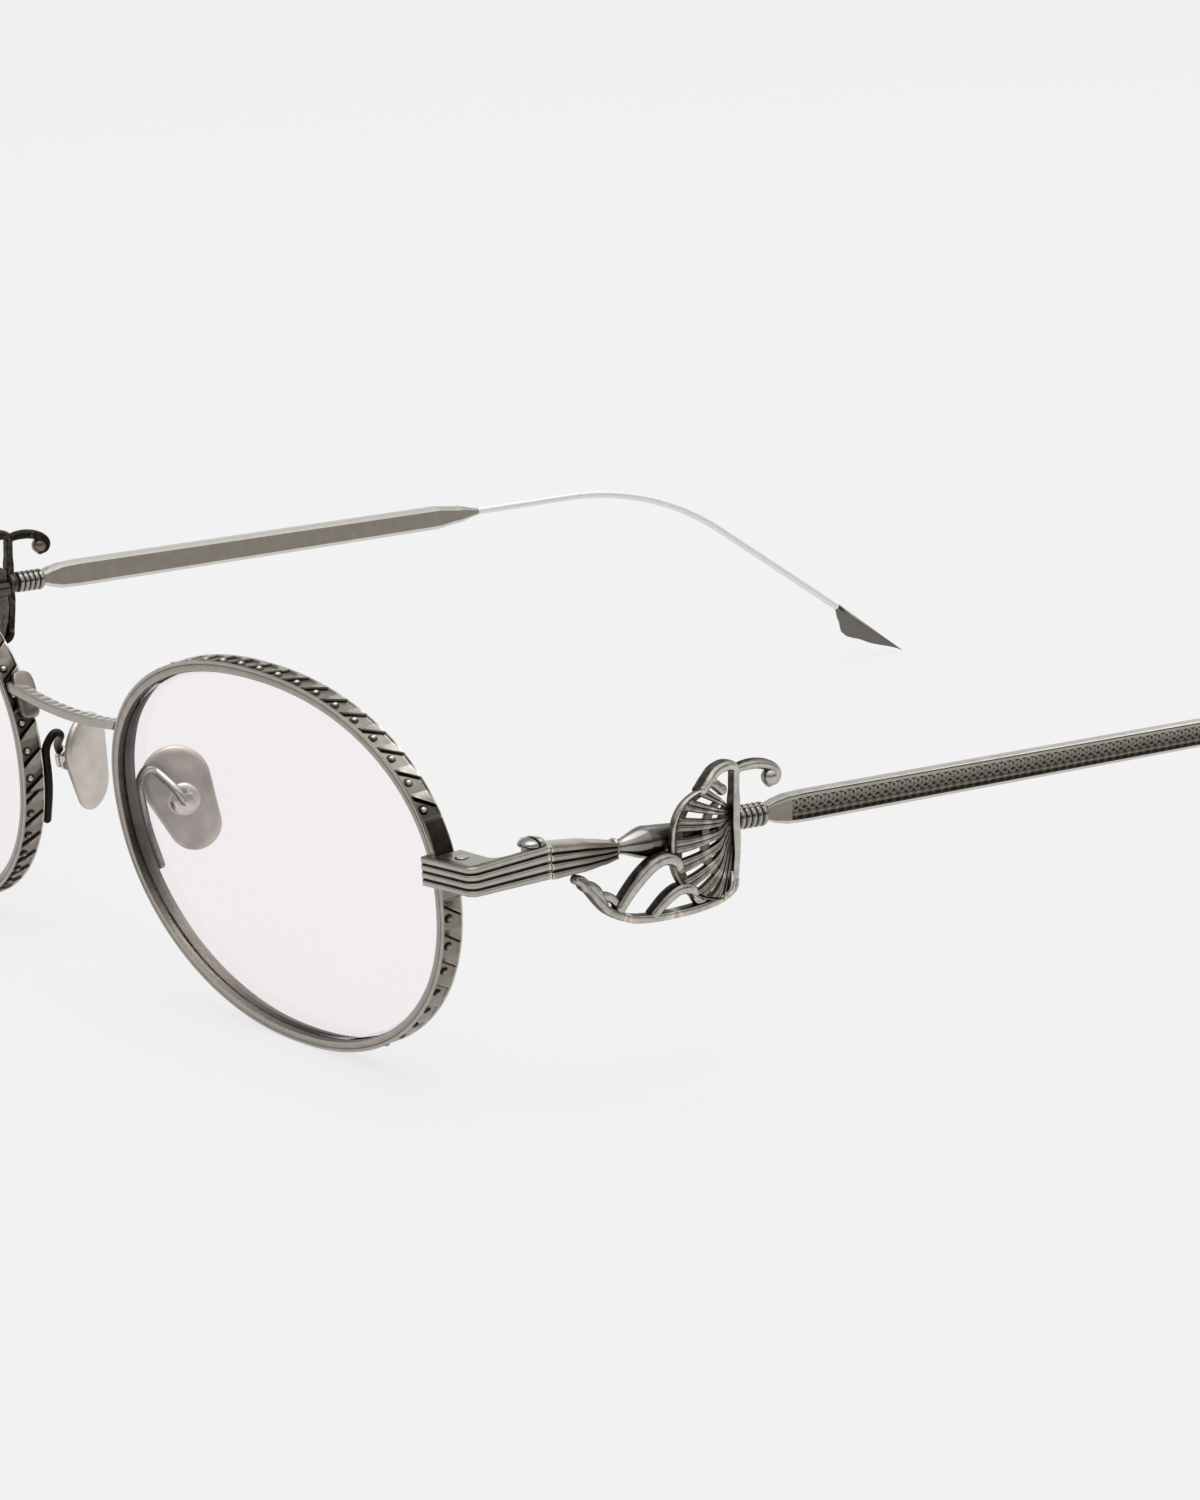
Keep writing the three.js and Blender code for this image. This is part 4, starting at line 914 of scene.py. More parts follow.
# %% Grip and collar
TEMPLE_INSET = 0.17
GRIP_START = 8.25
GRIP_LENGTH = 11.8
GRIP_RISE = 0.3
GRIP_NECK = 0.63
GRIP_FLARE = 0.79
FLARE_END = 3.3
HILT_RISE = 0.75
CROSSBAR_DEEP = 0.8
HUB_Y = GRIP_START + GRIP_LENGTH + SOLDER_GAP + CROSSBAR_DEEP / 2
FERRULE_Y = HUB_Y + CROSSBAR_DEEP / 2 + SOLDER_GAP
FERRULE_LENGTH = 3.0
FERRULE_RADIUS = 1.08
FERRULE_RINGS = 5
TURNED_SIDES = 64
grip_tilt = np.arctan2(GRIP_RISE, GRIP_LENGTH)


def along_temple(profile, start, tilt, relief):
    """A turned profile laid along the temple: its axis points back and rises by a tilt."""
    laid = turned(profile, TURNED_SIDES)[..., [0, 2, 1]]
    return skin(on_temple(laid @ turn_x(tilt).T + start), np.reshape(relief, (-1, 1)))


def grip():
    """Radius along the grip: a lip, a hollow neck, a trumpet's flare up to its edge and a tapering stem."""
    lip = np.array([[0.5, 0.0], [0.78, 0.02], [0.85, 0.09], [0.85, 0.24], [0.78, 0.31], [0.64, 0.36]])
    flare = np.linspace(0.45, 3.2, 40)
    flared = GRIP_NECK + GRIP_FLARE * smooth_step(0.3, 3.35, flare)
    stem = np.linspace(FLARE_END, GRIP_LENGTH, 50)
    tapered = 0.8 + 0.6 * (1 - (stem - FLARE_END) / (GRIP_LENGTH - FLARE_END)) ** 1.3
    profile = np.concatenate([
        lip, np.column_stack([flared, flare]), np.column_stack([tapered, stem]),
        [[0.4, GRIP_LENGTH + 0.01]]])
    tone = np.concatenate([
        np.full(4, 0.5), [-0.8, -0.9], 0.3 - 0.2 * smooth_step(1, 2.6, flare),
        -0.1 - 0.4 * smooth_step(3.4, 5, stem), [0]])
    return along_temple(profile, [-TEMPLE_INSET, GRIP_START, -BLOCK_DROP], grip_tilt, tone)


def ferrule():
    """A collar of rounded rings: radius falls into a groove between rings along a circle's arc."""
    place = np.linspace(0, 1, 91)
    swell = np.abs(np.sin(np.pi * FERRULE_RINGS * place)) ** 0.55
    radius = FERRULE_RADIUS * (0.83 + 0.17 * swell)
    profile = np.concatenate([
        [[0.4, 0]], np.column_stack([radius, place * FERRULE_LENGTH]), [[0.4, FERRULE_LENGTH]]])
    tone = np.concatenate([[-1], 1.6 * swell - 1.2, [-1]])
    return along_temple(profile, [-TEMPLE_INSET, FERRULE_Y, HILT_RISE], 0.0, tone)


both_sides("grip", [grip()], dark_silver, "temple", crease=45)
both_sides("ferrule", [ferrule()], dark_silver, "temple", crease=60)

# %% [markdown]
# The guard is the showpiece: a crossbar on a hub, a pierced shell like a scallop in front of it, scrolls
# above, and a bow with two hooks below. It was cast, blackened and rubbed, so the bars are bright outside
# and black inside. A bar is a rounded section carried along a smooth curve through a few points.

# %% Bars along curves
hub = np.array([-TEMPLE_INSET, HUB_Y, HILT_RISE])
CROSSBAR_OUT = 0.5
CROSSBAR_WIDE = 0.95
CROSSBAR_UP = 4.7
CROSSBAR_DOWN = 5.6
CROSSBAR_BOW = 0.2
BAR_SIDES = 22
BAR_TAPER = 0.35
CAP = np.array([0.2, 0.6, 0.85])


def on_guard(points):
    """Points of the guard's frame, whose origin is the hub's middle."""
    return on_temple(points + hub)


def in_place(points):
    """Points that are given in the row frame already."""
    return points


def curve_through(spots, count):
    """A smooth curve through points: on each stretch a cubic whose end slopes are half the step between
    the neighbours, sampled evenly."""
    spots = np.asarray(spots, float)
    slope = np.gradient(spots, axis=0)
    at = np.linspace(0, len(spots) - 1.000001, count)
    k = at.astype(int)
    t = (at - k)[:, None]
    a, b, da, db = spots[k], spots[k + 1], slope[k], slope[k + 1]
    rise = t * t * (3 - 2 * t)
    return (1 - rise) * a + rise * b + t * (1 - t) ** 2 * da - t * t * (1 - t) * db


def bar(spots, radius, count, flat=1.0, ends=(1.0, 1.0), power=0.5, relief=0.0, place=on_guard):
    """Rounded sections square to a curve, thinner towards each end by a share, with domed ends. The tone
    is bright on the outer face, which a cloth reaches, and dark on the flanks and inside, partly patina and
    partly painted shading of the round. The flank that faces down gets painted light."""
    path = curve_through(spots, count)
    tangent = np.gradient(path, axis=0)
    tangent /= np.linalg.norm(tangent, axis=1, keepdims=True)
    outward_way = np.array([1.0, 0, 0]) - tangent * tangent[:, :1]
    outward_way /= np.linalg.norm(outward_way, axis=1, keepdims=True)
    beside = np.cross(tangent, outward_way)
    share = np.linspace(0, 1, count)
    thin = ends[0] + (1 - ends[0]) * smooth_step(0, BAR_TAPER, share)
    thin *= ends[1] + (1 - ends[1]) * smooth_step(0, BAR_TAPER, 1 - share)
    swell = np.sqrt(1 - (1 - CAP) ** 2)
    lead = path[:1] - tangent[:1] * radius * thin[0] * (1 - CAP)[:, None]
    trail = path[-1:] + tangent[-1:] * radius * thin[-1] * (1 - CAP[::-1])[:, None]
    path = np.concatenate([lead, path, trail])
    capped = ((len(CAP), len(CAP)), (0, 0))
    outward_way, beside = np.pad(outward_way, capped, "edge"), np.pad(beside, capped, "edge")
    size = radius * np.concatenate([thin[0] * swell, thin, thin[-1] * swell[::-1]])[:, None, None]
    turn = full_turn(BAR_SIDES)
    out, aside = rounded(turn, power)
    ring = path[:, None] + size * (
        flat * out[None, :, None] * outward_way[:, None] + aside[None, :, None] * beside[:, None])
    face = smooth_step(0.4, 0.95, np.cos(turn))
    # Painted light: the flank that faces down is made lighter.
    top = smooth_step(0.3, 0.9, -aside * beside[:, 2:])
    return skin(place(ring), relief - 1.0 + 1.55 * face + 0.35 * top)


def guard_spots(*spots):
    """Points given as back, up and out from the hub's middle, in the order x, y, z."""
    flat = np.array(spots, float)
    return np.column_stack([flat[:, 2] + CROSSBAR_OUT, flat[:, 0], flat[:, 1]])


print("hub at", on_guard(np.zeros(3)).round(1))

# %% Scrolls above the crossbar
SCROLL_RADIUS = 0.5
BALL_RADIUS = 0.82


def guard_scrolls():
    """The front scroll with its inner volute and a bud, and the rear scroll with the ball that it rolls up
    to."""
    front = guard_spots(
        (0.15, 4.5, 0), (-0.44, 4.9, 0), (-1.24, 4.97, 0), (-2.2, 4.65, 0.05), (-3.05, 4.05, 0.3),
        (-3.75, 3.65, 0.65), (-4.3, 3.4, 0.95))
    volute = guard_spots((-2.95, 3.85, 0.4), (-2.65, 3.75, 0.65), (-2.15, 3.3, 0.8), (-1.85, 3.0, 0.85))
    rear = guard_spots(
        (-0.05, 4.4, 0), (0.6, 4.62, 0), (1.4, 4.72, 0), (2.3, 4.7, 0), (3.25, 4.5, 0), (4.05, 4.1, 0),
        (4.45, 3.55, 0), (4.3, 3.0, 0), (3.75, 2.78, 0))
    turn = np.linspace(0, np.pi, 24)
    globe = turned(BALL_RADIUS * np.column_stack([np.sin(turn).clip(0.02), -np.cos(turn)]), 36)
    shine = 0.15 + 0.5 * globe[..., 0] / BALL_RADIUS
    ball = skin(on_guard(globe * [0.9, 1, 1] + [CROSSBAR_OUT + 0.12, 3.77, 3.36]), shine)
    bud = skin(on_guard(0.62 * globe + [CROSSBAR_OUT + 0.85, -1.95, 3.15]), shine - 0.25)
    return [bar(front, SCROLL_RADIUS, 70, flat=1.45, ends=(0.8, 0.9), power=0.7, relief=0.1),
            bar(volute, 0.85 * SCROLL_RADIUS, 40, flat=1.2, ends=(1, 0.8)),
            bar(rear, 0.95 * SCROLL_RADIUS, 80, flat=1.3, ends=(0.85, 0.75), power=0.9), ball, bud]


print("scrolls", len(guard_scrolls()))

# %% Bow and hooks below the grip
BOW_RADIUS = 0.38
BOW_RINGS = 130
HOOK_RADIUS = 0.63
WORN_SPOTS = np.array([0.22, 0.41, 0.6])
WORN_REACH = 0.013


def guard_bow():
    """The bow with its second strand and its tail at the front, the link to the short hook, and a curl and
    a leaf at its rear end. The bow is worn through to the brass at three spots."""
    bow = guard_spots(
        (0.05, -5.2, 0), (-0.15, -5.75, 0.1), (-0.8, -6.15, 0.3), (-1.9, -6.5, 0.5), (-3.2, -6.75, 0.6),
        (-5.1, -7.0, 0.6), (-7.5, -7.1, 0.6), (-9.6, -7.05, 0.6), (-11.1, -6.85, 0.6), (-12.5, -6.35, 0.6),
        (-13.6, -5.75, 0.55), (-14.4, -5.0, 0.5), (-15.2, -4.05, 0.4), (-16.0, -3.2, 0.3),
        (-16.55, -2.75, 0.2))
    strand = guard_spots(
        (-12.2, -5.75, 0.6), (-12.75, -5.15, 0.6), (-13.3, -4.7, 0.55), (-13.9, -4.5, 0.5),
        (-14.5, -4.35, 0.45))
    tail = guard_spots(
        (-13.9, -5.3, 0.5), (-14.35, -4.75, 0.5), (-14.65, -4.1, 0.45), (-15.1, -3.65, 0.4),
        (-15.7, -3.4, 0.35), (-16.1, -2.95, 0.25), (-16.55, -2.75, 0.2))
    chain = guard_spots((-4.75, -5.6, 0.75), (-4.3, -6.2, 0.65), (-3.6, -6.65, 0.6))
    curl = guard_spots(
        (-3.9, -6.6, 0.6), (-3.45, -6.2, 0.7), (-2.9, -5.98, 0.75), (-2.3, -6.1, 0.75), (-1.85, -6.45, 0.7))
    leaf = guard_spots((-0.35, -4.5, 0.35), (-0.5, -5.25, 0.55), (-0.75, -5.85, 0.7), (-1.2, -6.3, 0.7))
    share = np.linspace(0, 1, BOW_RINGS + 2 * len(CAP))[:, None]
    worn = np.exp(-((share - WORN_SPOTS) / WORN_REACH) ** 2).sum(axis=1, keepdims=True)
    return [
        bar(bow, BOW_RADIUS, BOW_RINGS, flat=1.6, ends=(0.95, 0.9), relief=1.4 * worn - 0.1),
        bar(strand, BOW_RADIUS, 50, ends=(1, 0.9)),
        bar(tail, 1.4 * BOW_RADIUS, 50, ends=(0.8, 0.8), relief=-0.1),
        bar(chain, BOW_RADIUS, 24),
        bar(curl, 0.8 * BOW_RADIUS, 40, ends=(0.9, 0.8), power=0.9),
        bar(leaf, 0.85 * BOW_RADIUS, 36, ends=(0.5, 0.8), power=0.9, relief=0.25)]


def guard_hooks():
    """The long and the short hook, which rise from the bow and hold the shell."""
    long_hook = guard_spots(
        (-12.4, -5.7, 0.6), (-11.65, -4.65, 0.7), (-10.85, -3.65, 0.85), (-10.0, -2.82, 0.95),
        (-9.2, -2.2, 1.1), (-8.3, -1.93, 1.1), (-7.5, -2.05, 1.05), (-6.87, -2.45, 1.0), (-6.6, -2.9, 0.95))
    short_hook = guard_spots(
        (-8.9, -6.8, 0.6), (-8.15, -6.04, 0.7), (-7.42, -5.41, 0.8), (-6.6, -4.93, 0.9),
        (-5.73, -4.87, 0.95), (-5.1, -5.13, 0.9), (-4.8, -5.5, 0.85))
    return [bar(spots, thick * HOOK_RADIUS, rings, flat=1.35, ends=(0.9, 0.85), power=0.75)
            for spots, thick, rings in ((long_hook, 0.95, 80), (short_hook, 0.85, 60))]


def crossbar():
    """The post, a rounded oblong that bows back below its middle, and the round hub behind the shell."""
    half = CROSSBAR_DOWN / 2
    level = np.linspace(-CROSSBAR_DOWN, CROSSBAR_UP, 60)[:, None]
    slim = 0.85 + 0.15 * smooth_step(half, 0.6 * half, np.abs(level))
    bow = CROSSBAR_BOW * np.maximum(0, 1 - np.abs(level / half + 1))
    out, aside = rounded(full_turn(48), 0.35)
    post_x = CROSSBAR_OUT + 0.6 * CROSSBAR_WIDE * slim * out
    post = xyz(post_x, bow + CROSSBAR_DEEP / 2 * slim * aside, level)
    disc = np.array([[0.9, -0.4], [1.0, -0.3], [1.03, 0], [1.0, 0.3], [0.9, 0.4]])
    tone = -0.85 + 1.4 * smooth_step(0.8, 0.97, out)
    return [skin(on_guard(post), tone), along_temple(disc, hub, 0.0, -0.7)]


print("bow bars", len(guard_bow()), "hooks", len(guard_hooks()))

# %% [markdown]
# The shell is cast with nine ribs that leave the crossbar close together and bend forwards as they part.
# Each rib is a pair of round crests with a fine groove between them, the gaps are pierced in two rows, and
# a plain bright border runs round the edge. One grid of reach and turn gives all of it.

# %% Pierced shell
SHELL_WIDE = 7.05
SHELL_TALL = 5.2
SHELL_DROP = 1.32
SHELL_SQUARE_TOP = 3.0
SHELL_SQUARE_LOW = 2.4
SHELL_THICK = 0.45
SHELL_BULGE = 0.45
SHELL_LIFT = 1.4
SHELL_ROOT = 0.6
SHELL_RISE = 2.6
SHELL_RIBS = 9
SHELL_RIB_HALF = 0.335
SHELL_RIB_RAISE = 0.22
SHELL_BORDER = 0.962
HUB_RADIUS = 1.22
FAN_TOP = np.radians(50)
FAN_LOW = np.radians(-79)
INNER_SLOTS = (0.40, 0.54)
OUTER_SLOTS = (0.64, 0.88)
SHELL_INNER = 0.07
SHELL_SETBACK = 0.06
RIB_BEND = (0.33, 0.62)
RIB_BEND_DROP = 0.4
RIB_COLUMNS = 13
GAP_COLUMNS = 3


def shell_edge(turn):
    """The outer edge at a turn up from straight forwards: a half oval, squarer above than below."""
    power = np.where(turn > 0, SHELL_SQUARE_TOP, SHELL_SQUARE_LOW)
    c, s = np.cos(turn), np.sin(turn)
    far = ((c / SHELL_WIDE) ** power + (np.abs(s) / SHELL_TALL) ** power) ** (-1 / power)
    return -SHELL_SETBACK * SHELL_WIDE - far * c, far * s - SHELL_DROP


def shell_plan(reach, turn):
    """A rib's line: a quadratic curve from the crossbar over a bend to the edge."""
    edge_y, edge_z = shell_edge(turn)
    root_z = 0.5 * HUB_RADIUS * (0.5 + 1.4 * np.sin(turn))
    bend_y, bend_z = RIB_BEND[0] * edge_y, RIB_BEND[1] * edge_z - RIB_BEND_DROP * HUB_RADIUS
    start, middle, end = (1 - reach) ** 2, 2 * reach * (1 - reach), reach ** 2
    return middle * bend_y + end * edge_y, start * root_z + middle * bend_z + end * edge_z


def shell_grid():
    """Reach in rows that fall on the ends of the slots, and ribs counted across from the top, with columns
    on each rib and in each gap."""
    stops = [SHELL_INNER, *INNER_SLOTS, *OUTER_SLOTS, 1]
    rows = [np.linspace(low, high, count, endpoint=False)
            for low, high, count in zip(stops, stops[1:], (9, 5, 4, 9, 15))]
    on_rib = np.linspace(-SHELL_RIB_HALF, SHELL_RIB_HALF, RIB_COLUMNS)
    in_gap = np.linspace(SHELL_RIB_HALF, 1 - SHELL_RIB_HALF, GAP_COLUMNS + 2)[1:-1]
    count = (np.arange(SHELL_RIBS)[:, None] + np.concatenate([on_rib, in_gap])).ravel()
    return np.concatenate([*rows, [1]])[:, None], count[None, :-GAP_COLUMNS]


def shell():
    """Out rises from the crossbar to the lift, with a bulge along the reach and the crests on top. Cells
    between the ribs are left out within the two rows of slots."""
    reach, count = shell_grid()
    turn = FAN_TOP + (FAN_LOW - FAN_TOP) * count / (SHELL_RIBS - 1)
    y, z = shell_plan(reach, turn)
    beside = np.abs(count - np.round(count)) / SHELL_RIB_HALF
    crest = np.sqrt(np.clip(1 - (2 * beside - 1) ** 2, 0, 1))
    crest = np.where(beside < 0.5, 0.35 + 0.65 * crest, crest)
    on_rib = smooth_step(SHELL_BORDER, SHELL_BORDER - 0.03, reach)
    rim = np.clip((reach - SHELL_BORDER) / (1 - SHELL_BORDER), 0, 1)
    border = np.sqrt(np.clip(1 - (1.6 * rim - 0.8) ** 2, 0, 1)) * smooth_step(0, 0.25, rim)
    bulge = SHELL_BULGE * np.sin(0.65 * np.pi * reach)
    grown = np.minimum(1, 4 * reach ** 2 + 0.4)
    base = SHELL_ROOT + (SHELL_LIFT + bulge - SHELL_ROOT) * smooth_step(0, SHELL_RISE, -y)
    out = base - 0.06 + SHELL_RIB_RAISE * grown * np.maximum(crest * on_rib, border)
    outer, inner = xyz(out, y, z), xyz(base - SHELL_THICK, y, z)
    cell_count = (count[:, :-1] + count[:, 1:]) / 2
    gap = np.abs(cell_count - np.round(cell_count)) > SHELL_RIB_HALF
    cell_reach = (reach[:-1] + reach[1:]) / 2
    slots = [(cell_reach > low) & (cell_reach < high) for low, high in (INNER_SLOTS, OUTER_SLOTS)]
    web = smooth_step(INNER_SLOTS[1] - 0.01, INNER_SLOTS[1] + 0.02, reach)
    web = web * smooth_step(OUTER_SLOTS[0] + 0.02, OUTER_SLOTS[0] - 0.02, reach)
    shine = 0.55 + 0.85 * smooth_step(-0.7, 0.3, turn)
    root = smooth_step(0.45, 0.1, reach)
    relief = -0.75 + 0.95 * crest ** 2 * on_rib + 0.45 * web + shine * border - 0.25 * root
    return slab(on_guard(outer), on_guard(inner), ~(gap & (slots[0] | slots[1])), relief, back=-0.45)


guard = [*crossbar(), shell(), *guard_scrolls(), *guard_bow(), *guard_hooks()]
both_sides("shell_guard", guard, cast_silver, "temple", crease=50)

# %% [markdown]
# The blade is a flat bar with its outer top edge planed off and a fine line under it. Its outer side has a
# sunk panel with a pressed lattice: rows of pits, each row half a step on from the last, small above and
# slanting below. The section has many points down the outer side, so the pits are real.

# %% Blade
BLADE_Y = FERRULE_Y + FERRULE_LENGTH + SOLDER_GAP
BLADE_LENGTH = 54.5
BLADE_TALL = 2.75
BLADE_TALL_END = 2.35
BLADE_LIFT = 0.1
BLADE_THICK = 1.3
BLADE_PITCH = np.radians(0.75)
CHAMFER_WIDE, CHAMFER_DEEP = 0.36, 0.1
LINE_NEAR, LINE_FAR = 0.13, 0.2
INNER_BEVEL = 0.36
PANEL_TOP, PANEL_LOW = 0.52, 2.42
PANEL_START = 2.65
PANEL_END = 49.5
PANEL_DEPTH = 0.1
PIT_DEPTH = 0.12
LINE_DEPTH = 0.05
PIT_STEP = 0.885
PIT_ROW = 0.285
# Depth, length, height and slant of the pits in each row, from the top.
pit_rows = np.array([
    [1.0, 0.22, 0.10, 0.0], [1.0, 0.12, 0.11, 0.0], [0.55, 0.10, 0.09, 0.3], [1.0, 0.22, 0.13, 0.5],
    [0.8, 0.15, 0.13, -0.6], [-0.8, 0.26, 0.09, 1.2], [0.6, 0.4, 0.12, 0.8]])


def lattice(along, down):
    """Pits and the light round them. A pit is a bell curve about the nearest lattice point of the nearest
    row. Each row has its own depth, length, height and slant, and a negative depth is a raised stroke."""
    row = np.clip(np.round(down / PIT_ROW), 0, len(pit_rows) - 1).astype(int)
    deep, long, tall, slant = (pit_rows[row, k] for k in range(4))
    gap_down = down - row * PIT_ROW
    steps = along / PIT_STEP + 0.5 * (row % 2) + slant * gap_down
    gap_along = (steps - np.round(steps)) * PIT_STEP
    reach = np.hypot(gap_along / long, gap_down / tall)
    return deep * np.exp(-reach ** 2), (row < 2) * np.exp(-((reach - 1.9) / 0.5) ** 2)


def blade():
    """Rings along the blade: outer side from low to high, top, then the inner side back down. Height swells
    from the collar, holds, and runs out to the wire."""
    run = np.concatenate([np.linspace(0, PANEL_START - 0.05, 34), np.linspace(PANEL_START, PANEL_END, 900),
                          np.linspace(PANEL_END + 0.05, BLADE_LENGTH, 40)])[:, None]
    share = run / BLADE_LENGTH
    full = BLADE_TALL + (BLADE_TALL_END - BLADE_TALL) * share
    tall = full * eased([0, 0.019, 0.042, 0.08, 0.9, 0.955, 1], [0.5, 0.76, 0.94, 1, 1, 0.74, 0.3], share)
    thick = BLADE_THICK * eased([0, 0.03, 0.9, 0.955, 1], [0.94, 1, 1, 0.9, 0.62], share) / 2
    down = np.concatenate([
        [2.69, PANEL_LOW + 0.03], np.linspace(PANEL_LOW, PANEL_TOP, 38),
        [PANEL_TOP - 0.03, LINE_FAR + 0.03, LINE_FAR, LINE_NEAR, CHAMFER_DEEP]])
    inside = smooth_step(PANEL_START - 0.04, PANEL_START, run)
    inside = inside * smooth_step(PANEL_END + 0.04, PANEL_END, run)
    middle = (down > PANEL_TOP - 0.01) & (down < PANEL_LOW + 0.01)
    line = (down > LINE_NEAR - 0.01) & (down < LINE_FAR + 0.01)
    panel = inside * middle
    pit, light = lattice(run, down - PANEL_TOP)
    shade = smooth_step(0.8, 1.4, down - PANEL_TOP) + 0.5 * smooth_step(1.6, 2.1, down - PANEL_TOP)
    x_out = thick - panel * (PANEL_DEPTH + PIT_DEPTH * pit) - LINE_DEPTH * line
    border = np.select([line, down > PANEL_LOW, middle, down > LINE_FAR], [-0.45, 0.8, 0.0, 0.25], 0.75)
    tone_out = panel * (-0.2 - 0.38 * shade - 1.05 * pit + 0.5 * light) + (1 - panel) * border
    z_out = tall / 2 - down * tall / BLADE_TALL
    bevel = np.minimum(INNER_BEVEL, 0.2 * tall)
    x_rest = [thick * (1 - 2 * CHAMFER_WIDE / BLADE_THICK), -thick + 0.7 * bevel, -thick + 0.01, -thick,
              -thick, -thick + 0.01, -thick + 0.7 * bevel, thick - 0.12]
    z_rest = [tall / 2, tall / 2, tall / 2 - bevel, tall / 2 - bevel - 0.02,
              0.02 + bevel - tall / 2, bevel - tall / 2, -tall / 2, -tall / 2]
    x = np.concatenate([x_out, *x_rest], axis=1)
    z = np.concatenate([z_out, *z_rest], axis=1)
    tone_rest = np.broadcast_to([0.65, 0.6, 0.9, 0.0, 0.0, 0.9, 0.9, 0.8], (len(run), 8))
    local = xyz(x, run, z + BLADE_LIFT * (1 - share))
    place = local @ turn_x(BLADE_PITCH).T + [-TEMPLE_INSET, BLADE_Y, HILT_RISE]
    return skin(on_temple(place), np.concatenate([tone_out, tone_rest], axis=1))


both_sides("blade", [blade()], aged_silver, "temple", crease=24)

# %% [markdown]
# The ear wire is thin springy rod: straight out of the blade, one even bend over the ear and a straight
# leg. The tip is a flattened spear point. Both lie in the temple's own plane, so one function gives the
# wire's place and slope at any distance along it.

# %% Ear wire and tip
WIRE_RADIUS = 0.38
WIRE_STRAIGHT = 12.0
WIRE_BEND = 38.0
WIRE_DROP = np.radians(33.5)
TIP_LENGTH = 11.4
TIP_THICK = 1.0
blade_reach = BLADE_LENGTH + SOLDER_GAP
blade_end_y = BLADE_Y + blade_reach * np.cos(BLADE_PITCH)
blade_end_z = HILT_RISE + blade_reach * np.sin(BLADE_PITCH)
wire_start = np.array([-TEMPLE_INSET, blade_end_y, blade_end_z])
bend_end_y = WIRE_STRAIGHT + WIRE_BEND * np.sin(WIRE_DROP)
bend_end_z = WIRE_BEND * (np.cos(WIRE_DROP) - 1)
bend_end_rise = bend_end_y * np.sin(BLADE_PITCH) + bend_end_z * np.cos(BLADE_PITCH)
bend_end_height = hinge[2] + blade_end_z + bend_end_rise
LEG_LENGTH = bend_end_height / np.sin(WIRE_DROP - BLADE_PITCH) - TIP_LENGTH - SOLDER_GAP
WIRE_LENGTH = WIRE_STRAIGHT + WIRE_BEND * WIRE_DROP + LEG_LENGTH


def wire_place(distance):
    """Place and slope along the wire: a straight, an arc of even radius, then a straight at its slope."""
    turn = np.clip((distance - WIRE_STRAIGHT) / WIRE_BEND, 0, WIRE_DROP)
    first = np.minimum(distance, WIRE_STRAIGHT)
    rest = np.maximum(distance - WIRE_STRAIGHT - WIRE_BEND * WIRE_DROP, 0)
    y = first + WIRE_BEND * np.sin(turn) + rest * np.cos(WIRE_DROP)
    z = WIRE_BEND * (np.cos(turn) - 1) - rest * np.sin(WIRE_DROP)
    return y, z, turn


def on_wire(points):
    """Points of the wire's frame, which starts at the end of the blade and rises with it."""
    return on_temple(points @ turn_x(BLADE_PITCH).T + wire_start)


def ear_wire():
    """Circles square to the wire."""
    distance = np.linspace(0, WIRE_LENGTH, 90)[:, None]
    y, z, turn = wire_place(distance)
    angle = full_turn(20)
    up = WIRE_RADIUS * np.sin(angle)
    return skin(on_wire(xyz(WIRE_RADIUS * np.cos(angle), y + up * np.sin(turn), z + up * np.cos(turn))))


def spear_tip():
    """Lens-shaped sections along the tip: the upper edge is straight, the lower edge drops to a heel and
    then runs out to the point."""
    share = np.concatenate([np.linspace(0, 0.3, 22), np.linspace(0.32, 1, 40)])[:, None]
    upper = WIRE_RADIUS * (1 - share) ** 0.8
    lower = eased([0, 0.1, 0.2, 0.27, 0.5, 1], [-0.38, -1.2, -2.12, -2.2, -1.55, -0.02], share)
    lower = np.minimum(lower, upper - 0.03)
    angle = full_turn(28)
    half = TIP_THICK / 2 * smooth_step(-0.12, 0.1, share) * (1 - 0.75 * share)
    x = half * rounded(angle, 0.7)[0]
    z = (upper + lower) / 2 + (upper - lower) / 2 * rounded(angle, 0.9)[1]
    begin_y, begin_z, _ = wire_place(WIRE_LENGTH + SOLDER_GAP)
    local = xyz(x, share * TIP_LENGTH, z) @ turn_x(-WIRE_DROP).T + [0, begin_y, begin_z]
    # Painted light: the upper edge of the tip is made lighter than the rest.
    return skin(on_wire(local), -0.1 + 0.6 * smooth_step(0.45, 1, np.sin(angle)))


both_sides("ear_wire", [ear_wire()], wire_silver, "temple", crease=40)
both_sides("tip", [spear_tip()], dark_silver, "temple", crease=50)

# %% [markdown]
# A nose pad is a teardrop pebble of satin metal on a small boss, whose tab is screwed into a box on the
# pad arm. Its frame comes from the pad's joint: the axis runs to the front, and the pad hangs down and a
# little back from it.

# %% Nose pads
PAD_FLARE = np.radians(14)
PAD_LEAN = np.radians(19)
PAD_LENGTH = 10.0
PAD_WIDTH = 6.4
PAD_THICK = 1.2
PAD_NEAR = 1.0
PAD_TAPER = 0.76
pad_down = np.array([np.tan(PAD_FLARE), np.tan(PAD_LEAN), -1])
pad_down /= np.linalg.norm(pad_down)
pad_turn = np.stack([pad_down, pad_axis, np.cross(pad_down, pad_axis)], axis=1)


def on_pad(points):
    """Points of the pad's frame: x down the pad, y to the front, z towards the nose."""
    return placed(points, pad_turn, pad_pivot)


def pad_outline(count):
    """A teardrop: two circles and their common tangents, walked by angle round the nearer circle."""
    big = PAD_WIDTH / 2
    small = PAD_TAPER * big
    upper, lower = big - PAD_LENGTH / 2, PAD_LENGTH / 2 - small
    lean = np.arcsin((big - small) / (lower - upper))
    top = np.linspace(np.pi / 2 - lean, 1.5 * np.pi + lean, count // 2)
    low = np.linspace(lean - np.pi / 2, np.pi / 2 - lean, count // 2)
    return np.concatenate([
        np.column_stack([upper + big * np.cos(top), big * np.sin(top)]),
        np.column_stack([lower + small * np.cos(low), small * np.sin(low)])])


